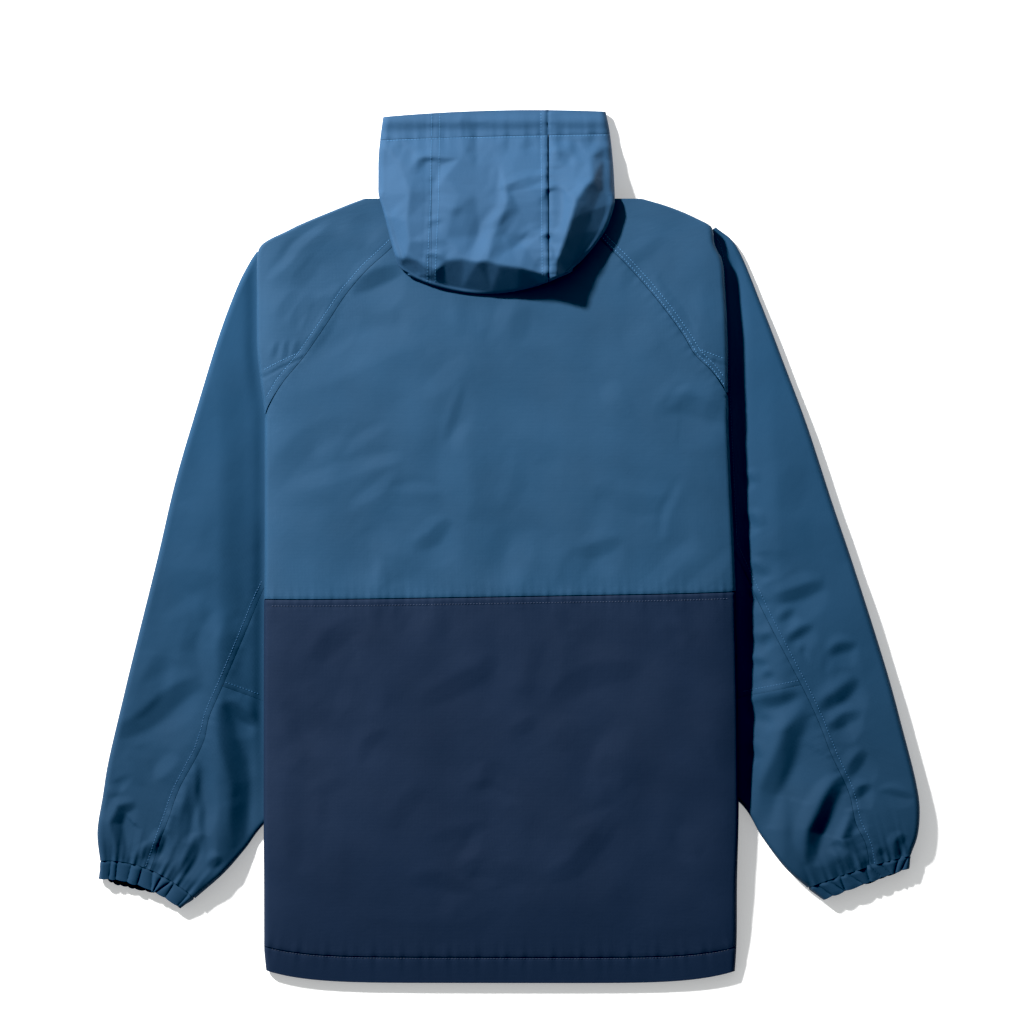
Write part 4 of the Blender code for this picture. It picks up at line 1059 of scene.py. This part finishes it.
def cuff(side):
    """Elastic cuff: uneven slanted gathers with narrow valleys; its mouth gapes below them."""
    first = section(side, 0.0)
    start = np.array(first[:5] + first[6:])
    end = np.array(CUFF_ENDS[side], float)
    away = (end - start)[:4] / np.linalg.norm((end - start)[:2])
    start[:4] += away * CUFF_GAP
    columns = CUFF_GATHERS * GATHER_STEPS
    bounds, slants, crests = gathers(side)
    turn = np.arange(columns) / columns
    grid = []
    for share in np.linspace(0.0, 1.0, CUFF_ROWS):
        x_out, y_out, x_in, y_in, height, bow = start + (end - start) * share
        ends = ((x_out, y_out), (x_in, y_in))
        left, right = ends if side == "left" else ends[::-1]
        ring = Ring(left, right, (y_out + y_in) / 2.0 + bow, lambda x, y, h=height: h + 0.0 * x, table_top)
        points = ring.at(turn * ring.round)
        tangent = np.roll(points, -1, axis=0) - np.roll(points, 1, axis=0)
        outward = np.cross(tangent, np.array((away[0], away[1], 0.0)))
        outward /= np.linalg.norm(outward, axis=1, keepdims=True)
        if outward[np.argmax(points[:, 2]), 2] < 0.0:
            outward = -outward
        edges = np.maximum.accumulate(bounds + slants * (share - 0.5))
        edges[-1] = 1.0 + edges[0]
        wave = gather_wave(turn, edges, crests)
        # the gathers grow from the sleeve's edge and ease again at the lip
        lip = 0.25 + 0.75 * ramp(share, 0.0, 0.22) - 0.45 * ramp(share, 0.75, 1.0)
        raised = ramp(points[:, 2], *CUFF_RAISED)
        tucked = math.exp(-(share / TUCK_REACH) ** 2)
        points = points + outward * ((GATHER_HEIGHT * wave * lip - TUCK_DEPTH * tucked) * raised)[:, None]
        points[:, :2] -= TUCK_IN * tucked * raised[:, None] * away[None, :2]
        across = (points[:, 0] - left[0]) / (right[0] - left[0])
        gape = cuff_gape(side, height, across, points[:, 2]) * ramp(share, 0.3, 1.0)
        out = SCALLOP * wave * ramp(share, 0.5, 1.0) + CUFF_MOUTH[side] * gape
        points[:, :2] += out[:, None] * away[None, :2]
        along = np.roll(points, -1, axis=0) - np.roll(points, 1, axis=0)
        grid.append(np.hstack((points, along, (turn * ring.round)[:, None])))
    cloth_piece("cuff_%s_cloth" % side, "sleeve", grid[::-1], ("cuff_" + side,), closed=True)


# ---------------------------------------------------------------- hood

CASING_PATH = [(-120.0, 843.0), (-60.0, 845.6), (-5.0, 846.5), (50.0, 847.8), (110.0, 849.0)]
HOOD_LEFT_PATH = [(-66.0, 871.0), (-67.0, 780.0), (-70.5, 700.0)]
HOOD_RIGHT_PATH = [(48.0, 871.0), (48.5, 780.0), (49.0, 700.0)]
# Seams of the hood: path, pucker, reach, pitch, seed, topstitch, groove
HOOD_SEAMS = (
    (CASING_PATH, 0.8, 10.0, 17.0, 53, 0.0, 0.6),
    (HOOD_LEFT_PATH, 0.5, 6.0, 11.0, 54, -7.0, 0.2),
    (HOOD_RIGHT_PATH, 0.8, 7.0, 12.0, 55, -7.0, 1.2),
)
# Its rows of topstitching: seam, distance to the left of it
HOOD_STITCHES = ((CASING_PATH, -1.5), (HOOD_LEFT_PATH, -2.0), (HOOD_LEFT_PATH, 6.0),
                 (HOOD_RIGHT_PATH, -7.0))
HOOD_STRAY = scattered(66, 30, (-115, 712, 110, 840), way=45.0, spread=60.0, length=22.0,
                       half_width=3.5, depth=0.5)
CASING_SWELL = (2.2, 861.0, 6.5)   # height of the casing's round, its middle y and half width


def laid_sheet(lines, x_range, y_range, soften):
    """Height of a sheet that is flat between fold lines of (x, y, z) points, as a function of (x, y).

    soften is how many times its folds are eased by a millimetre.
    """
    numbers, points, edges = {}, [], []
    for line in lines:
        for point in line:
            if point[:2] not in numbers:
                numbers[point[:2]] = len(points)
                points.append(point)
        edges += [(numbers[a[:2]], numbers[b[:2]]) for a, b in zip(line[:-1], line[1:])]
    flat, _, faces, source, _, _ = delaunay_2d_cdt([Vector(p[:2]) for p in points], edges, [], 0, 1e-3)
    known = np.array(points, float)
    corners = []
    for place, old in zip(flat, source):
        nearest = old[0] if old else int(np.argmin(np.hypot(*(known[:, :2] - np.array(place)).T)))
        corners.append((place[0], place[1], known[nearest, 2]))
    tree = BVHTree.FromPolygons(corners, faces)
    xs, ys = np.arange(*x_range, 1.0), np.arange(*y_range, 1.0)
    level = np.zeros((len(ys), len(xs)))
    for row, y in enumerate(ys):
        for column, x in enumerate(xs):
            hit = tree.ray_cast((x, y, HIGH_ABOVE), DOWN)[0]
            level[row, column] = hit.z if hit else level[max(row - 1, 0), column]
    for _ in range(soften):
        for _ in ("rows", "columns"):
            padded = np.pad(level, ((1, 1), (0, 0)), mode="edge")
            level = ((padded[:-2] + 2.0 * padded[1:-1] + padded[2:]) / 4.0).T

    def height(x, y):
        u = np.clip(np.asarray(x, float) - xs[0], 0.0, len(xs) - 1.001)
        v = np.clip(np.asarray(y, float) - ys[0], 0.0, len(ys) - 1.001)
        i, j = u.astype(int), v.astype(int)
        u, v = u - i, v - j
        return ((level[j, i] * (1.0 - u) + level[j, i + 1] * u) * (1.0 - v)
                + (level[j + 1, i] * (1.0 - u) + level[j + 1, i + 1] * u) * v)
    return height


hood_lie = laid_sheet(HOOD_FOLDS, x_range=(-132.0, 128.0), y_range=(668.0, 856.0), soften=2)


def hood_relief(x, y):
    """What the creases, the casing's swell and the seams add to the hood's upper side."""
    swell, y_middle, half = CASING_SWELL
    height = creases(HOOD_CREASES + HOOD_STRAY, x, y) + 0.3 * billow(x, y, 40.0, 51)
    height = height + swell * np.exp(-((y - y_middle) / half) ** 2)
    return with_seams(height, HOOD_SEAMS, x, y)


HOOD_ROLL = 8.0                # roll of the hood's sides
HOOD_TURNS = (0.4, 0.8, 1.2, 1.5)   # steps round its bottom fold, radians
NECK_ROW, LAST_ROW = 3.0, 9.0  # rows of its table at the neck seam and at the crown
FOLDS_START = (0.6, 1.3)       # rows over which its folds come in, below the casing


def hood_ring(row, turn=0.0):
    """Ring of the hood at a row number, which may lie between two rows of the table.

    turn is how far the cloth has turned round the bottom fold, up to a quarter turn.
    """
    numbered = np.column_stack((np.arange(len(HOOD_ROWS)), np.array(HOOD_ROWS, float)))
    x_l, y_l, x_r, y_r, y_mid, height = (float(smooth(numbered, k, row)) for k in range(1, 7))
    out = CROWN_FOLD / 2.0 * math.sin(turn)

    def levels(x, y):
        low = (body_top(x, y) + HOOD_CLEAR) * ramp(row, POUCH_ROW - 1.0, POUCH_ROW)
        across = (x - (x_l + x_r) / 2.0) / ((x_r - x_l) / 2.0)
        casing = height * (1.0 - CASING_SINK * across ** 2)
        full = casing + (hood_lie(x, y) - casing) * ramp(row, *FOLDS_START) + hood_relief(x, y)
        full = np.maximum(full, low + CROWN_FOLD)
        middle, half = (full + low) / 2.0, (full - low) / 2.0 * math.cos(turn)
        return middle - half, middle + half

    return Ring((x_l, y_l - out), (x_r, y_r - out), y_mid - out, lambda x, y: levels(x, y)[1],
                lambda x, y: levels(x, y)[0], radius=HOOD_ROLL)


# Cloth along and across the hood, for the count of grid steps
THROAT_LENGTH, NECK_LENGTH, POUCH_LENGTH = 50.0, 11.0, 95.0
CASING_DEPTH, CASING_WIDTH, CENTRE_WIDTH, SIDE_WIDTH = 26.0, 210.0, 116.0, 50.0
SIDE_REACH = 9.0               # cloth at each side of a side fold that has its finer grid
REACH_END = (8.0, 6.0)         # row from which it gets less towards the crown, and by how much a row
CASING_ROLL_STEP = 1.8         # grid step round the casing's ends


def hood_rings():
    """Rings from below the casing to the crown, each with its row, and the counts by the neck."""
    throat = np.linspace(CASING_ROW, NECK_ROW, steps(THROAT_LENGTH, FINEST) + 1)
    pouch = np.linspace(POUCH_ROW, LAST_ROW, steps(POUCH_LENGTH, FINEST) + 1)
    neck = np.linspace(NECK_ROW, POUCH_ROW, steps(NECK_LENGTH, FINEST) + 1)[1:-1]
    rows = [(row, hood_ring(row)) for row in (*throat, *neck, *pouch)]
    rows += [(LAST_ROW, hood_ring(LAST_ROW, turn)) for turn in HOOD_TURNS]
    return rows, len(throat), len(neck)


def hood_side(side, rings):
    """Side panel of the hood: top seam, side fold, then the pouch's lower layer and the throat."""
    rows, throat, neck = rings
    grid = []
    top, under = steps(SIDE_WIDTH, FINER), steps(SIDE_WIDTH, COARSE)
    roll = steps(2.0 * SIDE_REACH + 2.0, ROLL_STEP)
    counts = (under, roll, top) if side == "left" else (top, roll, under)
    x_top = HOOD_SEAM_LEFT if side == "left" else HOOD_SEAM_RIGHT
    for number, (row, ring) in enumerate(rows):
        x_under = THROAT_SEAM if number < throat + neck else x_top
        over, beneath = ring.over(ring.share_at(x_top)), ring.beneath(ring.share_at(x_under))
        reach = SIDE_REACH - REACH_END[1] * max(0.0, row - REACH_END[0])
        if side == "left":
            stops = [beneath - ring.round + SEAM_OPEN, -reach, reach, over - SEAM_SHUT]
        else:
            stops = [over + SEAM_OPEN, ring.right - reach, ring.right + reach, beneath - SEAM_OPEN]
        points = ring.stretch(stops, counts)
        if number == 0:
            points[:, 1] -= SEAM
        if number == throat - 1:            # the throat reaches the front neck seam on the table
            edge = slice(0, under) if side == "left" else slice(-under, None)
            points[edge, 1] = NECK_Y + SEAM / 2.0
        grid.append(points)
    across = sum(counts)
    open_cells = range(under) if side == "left" else range(across - under, across)
    open_rows = range(throat - 1, throat + neck)
    cloth_piece("hood_side_%s_cloth" % side, "hood", grid[::-1], ("hood_side_" + side,),
                skip=[(len(grid) - 2 - r, c) for r in open_rows for c in open_cells])


def hood_centre(rings):
    """Middle panel: face opening, over the crown, round the bottom fold and back to the neck."""
    count = steps(CENTRE_WIDTH, FINER)
    upper, lower = [], []
    for row, ring in rings[0]:
        left, right = ring.share_at(HOOD_SEAM_LEFT), ring.share_at(HOOD_SEAM_RIGHT)
        upper.append(ring.stretch([ring.over(left) + SEAM_SHUT, ring.over(right) - SEAM_OPEN], (count,)))
        if row >= POUCH_ROW:
            stops = [ring.beneath(right) + SEAM_OPEN, ring.beneath(left) - SEAM_OPEN]
            lower.append(ring.stretch(stops, (count,))[::-1] * TURNED)
    upper[0][:, 1] -= SEAM
    cloth_piece("hood_centre_cloth", "hood", (upper + lower[::-1])[::-1], ("hood_centre",))


def hood_casing():
    """Drawcord casing, turned round the whole face opening."""
    flat, under = steps(CASING_WIDTH, FINEST), steps(CASING_WIDTH, COARSE)
    roll = steps(SIDE_REACH, CASING_ROLL_STEP)
    grid = []
    for row in np.linspace(0.0, CASING_ROW, steps(CASING_DEPTH, FINEST) + 1):
        ring = hood_ring(row)
        stops = [0.0, SIDE_REACH, ring.right - SIDE_REACH, ring.right, ring.right + SIDE_REACH,
                 ring.round - SIDE_REACH, ring.round]
        grid.append(ring.stretch(stops, (roll, flat, roll, roll, under, roll))[:-1])
    cloth_piece("hood_casing_cloth", "hood", grid[::-1], ("hood_casing",), closed=True)


# ---------------------------------------------------------------- sewing

WAY_STEP = 0.3                 # each way from a point, to measure how its path runs there


def spaced(path, pitch):
    """Points and ways along a path, one for each stitch."""
    path = np.array(path, float)
    length = np.concatenate(([0.0], np.cumsum(np.linalg.norm(np.diff(path, axis=0), axis=1))))
    places = np.arange(pitch / 2.0, length[-1], pitch)
    behind, at, ahead = (np.column_stack([np.interp(places + step, length, path[:, k]) for k in range(2)])
                         for step in (-WAY_STEP, 0.0, WAY_STEP))
    return at, (ahead - behind) / np.linalg.norm(ahead - behind, axis=1, keepdims=True)


def offset_path(path, distance):
    """The path moved to its left by a distance."""
    path = np.array(path, float)
    way = np.gradient(path, axis=0)
    way /= np.linalg.norm(way, axis=1, keepdims=True)
    return path + distance * np.column_stack((-way[:, 1], way[:, 0]))


STITCH_PITCH, STITCH_LENGTH, STITCH_WIDTH = 3.0, 2.1, 0.7
STITCH_RING = ((0.0, 1.0), (0.8, 0.45), (0.8, -0.3), (-0.8, -0.3), (-0.8, 0.45))   # its section
# Sections along it: place as a share of its length, swell, lift above the cloth
STITCH_BANDS = ((-0.5, 0.35, -0.25), (-0.3, 1.0, 0.12), (0.3, 1.0, 0.12), (0.5, 0.35, -0.25))
STITCH_FELT = 0.4              # from its middle to where the cloth below is felt, as a share of its length
STITCH_STEP = 2.5              # no stitch is laid where the cloth steps by more than this
HEM_STITCH, SECOND_STITCH = 1.2, 2.2   # from the hem seam and the right raglan seam to their near rows
ROW_SPACING = 2.0              # between the points that a row of stitching is drawn through
EDGE_CLEAR, HEM_CLEAR, SLEEVE_CLEAR = 4.0, 6.0, 3.0   # from a row's end to the body's side fold
NECK_CLEAR = 750.0             # y to which the raglan rows show below the hood
CROWN_CLEAR = (-3.0, 110.0, 700.0)   # middle x, half width and least y of the rows on the hood
RAY_HEIGHT = 0.2               # start of the rays that feel for the built cloth, metres


def cloth_tree(names):
    """Search tree over the built cloth, for laying thread on it."""
    corners, faces = [], []
    for name in names:
        mesh = PIECES[name].data
        start = len(corners)
        corners.extend(v.co[:] for v in mesh.vertices)
        faces.extend(tuple(start + k for k in polygon.vertices) for polygon in mesh.polygons)
    return BVHTree.FromPolygons(corners, faces)


def stitch_points(place, ahead, low, level, high):
    """Outer points of one stitch, along its way: low, level and high are the cloth's heights there."""
    slope = (high - low) / (2.0 * STITCH_FELT * STITCH_LENGTH)
    points = []
    for share, swell, lift in STITCH_BANDS:
        along = share * STITCH_LENGTH
        middle = place + along * ahead
        for side, up in STITCH_RING:
            off = side * swell * STITCH_WIDTH / 2.0
            points.append((middle[0] - ahead[1] * off, middle[1] + ahead[0] * off,
                           level + slope * along + lift + up * swell * STITCH_WIDTH / 2.0))
    return points


def stitches(name, paths, tree, thread):
    """Rows of topstitching: each stitch a short raised thread with sunk ends, laid on the cloth."""
    points, faces = [], []
    n, last = len(STITCH_RING), len(STITCH_BANDS) - 1
    for path in paths:
        for place, ahead in zip(*spaced(path, STITCH_PITCH)):
            reach = np.array((-STITCH_FELT, 0.0, STITCH_FELT))[:, None] * STITCH_LENGTH * ahead + place
            hits = [tree.ray_cast((*to_frame((*p, 0.0))[:2], RAY_HEIGHT), DOWN)[0] for p in reach]
            if None in hits:
                continue
            heights = [hit.z * 1000.0 for hit in hits]
            if max(heights) - min(heights) > STITCH_STEP:
                continue
            first = len(points)
            points += stitch_points(place, ahead, *heights)
            for band in range(last):
                for k in range(n):
                    a, b = first + band * n + k, first + band * n + (k + 1) % n
                    faces.append((b, a, a + n, b + n))
            faces.append(tuple(first + k for k in range(n)))
            faces.append(tuple(first + last * n + k for k in reversed(range(n))))
    mesh = bpy.data.meshes.new(name)
    mesh.from_pydata(to_frame(points).tolist(), [], faces)
    mesh.materials.append(thread)
    mesh.shade_smooth()
    made = linked(name, mesh)
    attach(made, "root")


def sewn_row(path, distance, shown):
    """The row that runs to the left of a seam at a distance, where it shows."""
    at, _ = spaced(offset_path(path, distance), ROW_SPACING)
    return [tuple(p) for p in at if shown(*p)]


def on_back(x, y):
    return abs(x) < BODY_HALF - HEM_CLEAR


def clear_of_hood(x, y):
    return y < NECK_CLEAR and body_left(y) + EDGE_CLEAR < x < body_right(y) - EDGE_CLEAR


def beside_body_left(x, y):
    return body_left(y) - x > SLEEVE_CLEAR


def beside_body_right(x, y):
    return x - body_right(y) > SLEEVE_CLEAR


def on_hood(x, y):
    middle, half, least_y = CROWN_CLEAR
    return abs(x - middle) < half and y > least_y


def sewing():
    """Topstitching of the back, the raglan seams, the sleeves and the hood."""
    body_cloth = cloth_tree(("back_upper_cloth", "back_lower_cloth", "hem_back_cloth",
                             "shoulder_left_cloth", "shoulder_right_cloth"))
    for name, path, distance, thread in (
            ("colour_seam_topstitch", COLOUR_SEAM_PATH, -TOPSTITCH, navy_thread),
            ("hem_topstitch", HEM_SEAM_PATH, -HEM_STITCH, hem_thread)):
        stitches(name, [sewn_row(path, distance, on_back)], body_cloth, thread)
    for side, sign in SIDES.items():
        raglan = [TOPSTITCH] if side == "left" else [TOPSTITCH, SECOND_STITCH]
        rows = [sewn_row(RAGLAN_PATHS[side], sign * distance, clear_of_hood) for distance in raglan]
        rows.append(sewn_row(HEAD_SEAMS[side], -sign * TOPSTITCH, clear_of_hood))
        stitches("raglan_%s_topstitch" % side, rows, body_cloth, blue_thread)
        shown = beside_body_left if side == "left" else beside_body_right
        rows = [sewn_row(BACK_SEAM_PATHS[side], sign * BACK_STITCH, shown),
                sewn_row(ELBOW_PATHS[side], sign * ELBOW_STITCH, shown)]
        sleeve_cloth = cloth_tree("%s_%s_cloth" % (panel, side)
                                  for panel in ("sleeve", "under_lower", "under_upper"))
        stitches("sleeve_%s_topstitch" % side, rows, sleeve_cloth, sleeve_thread)
    hood_cloth = cloth_tree(("hood_casing_cloth", "hood_centre_cloth", "hood_side_left_cloth",
                             "hood_side_right_cloth"))
    rows = [sewn_row(path, distance, on_hood) for path, distance in HOOD_STITCHES]
    stitches("hood_topstitch", rows, hood_cloth, blue_thread)


# ---------------------------------------------------------------- floor, light and camera

FLOOR_HALF, FLOOR_DROP = 6.0, 0.0005   # half its side and how far it lies below the cloth, metres
FLOOR_WHITE, GLOW_WHITE = "#f4f4f2", "#ffffff"
FLOOR_GLOW = 0.32                    # lifts the shadows that the table sheet catches

KEY_WAY = (-0.564, 0.605, 0.559)     # from the garment to the main light
KEY_DISTANCE, KEY_SIZE, KEY_POWER = 5.0, 0.42, 640.0
WORLD_SIDES, WORLD_TOP = 0.62, 0.12  # light of the room from its sides and from overhead
WORLD_HEIGHTS = (0.35, 0.95)         # heights of the sky between which it goes from one to the other
WORLD_NEAR, WORLD_FAR = 0.3, 1.5     # shares of it away from the main light and on its side
LIT_SIDE, LIT_SPREAD = (-0.7, 0.7, 0.0), 0.8
ROOM_TINT = (0.93, 0.97, 1.0, 1.0)
BLACK_POINT = 0.008                  # keeps the deep folds full in colour

VIEW_CENTRE, VIEW_LEVEL = (12.0, 471.0), 0.008   # what the camera looks at: x and y, and height in metres
FIELD = 1.024                        # width of its view there, metres
LENS, SENSOR = 200.0, 36.0


def floor():
    """Matte white table sheet: no gloss, and bright enough that soft shadows fade into it."""
    mesh = bpy.data.meshes.new("floor")
    half = FLOOR_HALF
    mesh.from_pydata([(-half, -half, 0.0), (half, -half, 0.0), (half, half, 0.0), (-half, half, 0.0)],
                     [], [(0, 1, 2, 3)])
    material, _, shader = new_finish("matte_white_floor")
    settings = {"Base Color": linear(FLOOR_WHITE), "Roughness": 0.9, "Specular IOR Level": 0.1,
                "Emission Color": linear(GLOW_WHITE), "Emission Strength": FLOOR_GLOW}
    for socket, value in settings.items():
        shader.inputs[socket].default_value = value
    mesh.materials.append(material)
    made = linked("floor", mesh)
    made.location.z = -FLOOR_DROP


def key_light():
    """Round softbox that faces the garment's middle."""
    light = bpy.data.lights.new("key_softbox", "AREA")
    light.shape, light.size, light.energy = "DISK", KEY_SIZE, KEY_POWER
    made = linked("key_softbox", light)
    made.location = tuple(KEY_DISTANCE * v for v in KEY_WAY)
    made.rotation_euler = (-Vector(made.location)).to_track_quat("-Z", "Y").to_euler()


def studio_world():
    """Soft room light: grey round the sides, dark overhead where the camera stands."""
    world = bpy.data.worlds.new("studio")
    world.use_nodes = True
    tree = world.node_tree
    background = tree.nodes["Background"]
    way = add_node(tree, "ShaderNodeTexCoord")
    split = add_node(tree, "ShaderNodeSeparateXYZ", {}, {"Vector": (way, "Generated")})
    level = add_node(tree, "ShaderNodeMapRange", {
        "From Min": WORLD_HEIGHTS[0], "From Max": WORLD_HEIGHTS[1],
        "To Min": WORLD_SIDES, "To Max": WORLD_TOP}, {"Value": (split, "Z")})
    facing = add_node(tree, "ShaderNodeVectorMath", {"operation": "DOT_PRODUCT", 1: LIT_SIDE},
                      {0: (way, "Generated")})
    side = add_node(tree, "ShaderNodeMapRange", {
        "From Min": -LIT_SPREAD, "From Max": LIT_SPREAD, "To Min": WORLD_NEAR, "To Max": WORLD_FAR},
        {"Value": (facing, "Value")})
    strength = add_node(tree, "ShaderNodeMath", {"operation": "MULTIPLY"},
                        {0: (level, "Result"), 1: (side, "Result")})
    tree.links.new(strength.outputs[0], background.inputs["Strength"])
    background.inputs["Color"].default_value = ROOM_TINT
    bpy.context.scene.world = world


def light_and_camera():
    key_light()
    studio_world()
    view = bpy.context.scene.view_settings
    view.view_transform = "Standard"
    view.use_curve_mapping = True
    view.curve_mapping.black_level = (BLACK_POINT,) * 3
    view.curve_mapping.update()
    data = bpy.data.cameras.new("camera")
    data.lens, data.sensor_width = LENS, SENSOR
    camera = linked("camera", data)
    distance = FIELD * data.lens / data.sensor_width
    camera.location = (*to_frame((*VIEW_CENTRE, 0.0))[:2], VIEW_LEVEL + distance)
    bpy.context.scene.camera = camera


# ---------------------------------------------------------------- the garment

body()
for garment_side in SIDES:
    shoulder(garment_side)
    sleeve(garment_side)
    cuff(garment_side)
hood_casing()
hood_levels = hood_rings()
hood_centre(hood_levels)
for garment_side in SIDES:
    hood_side(garment_side, hood_levels)
sewing()

floor()
light_and_camera()
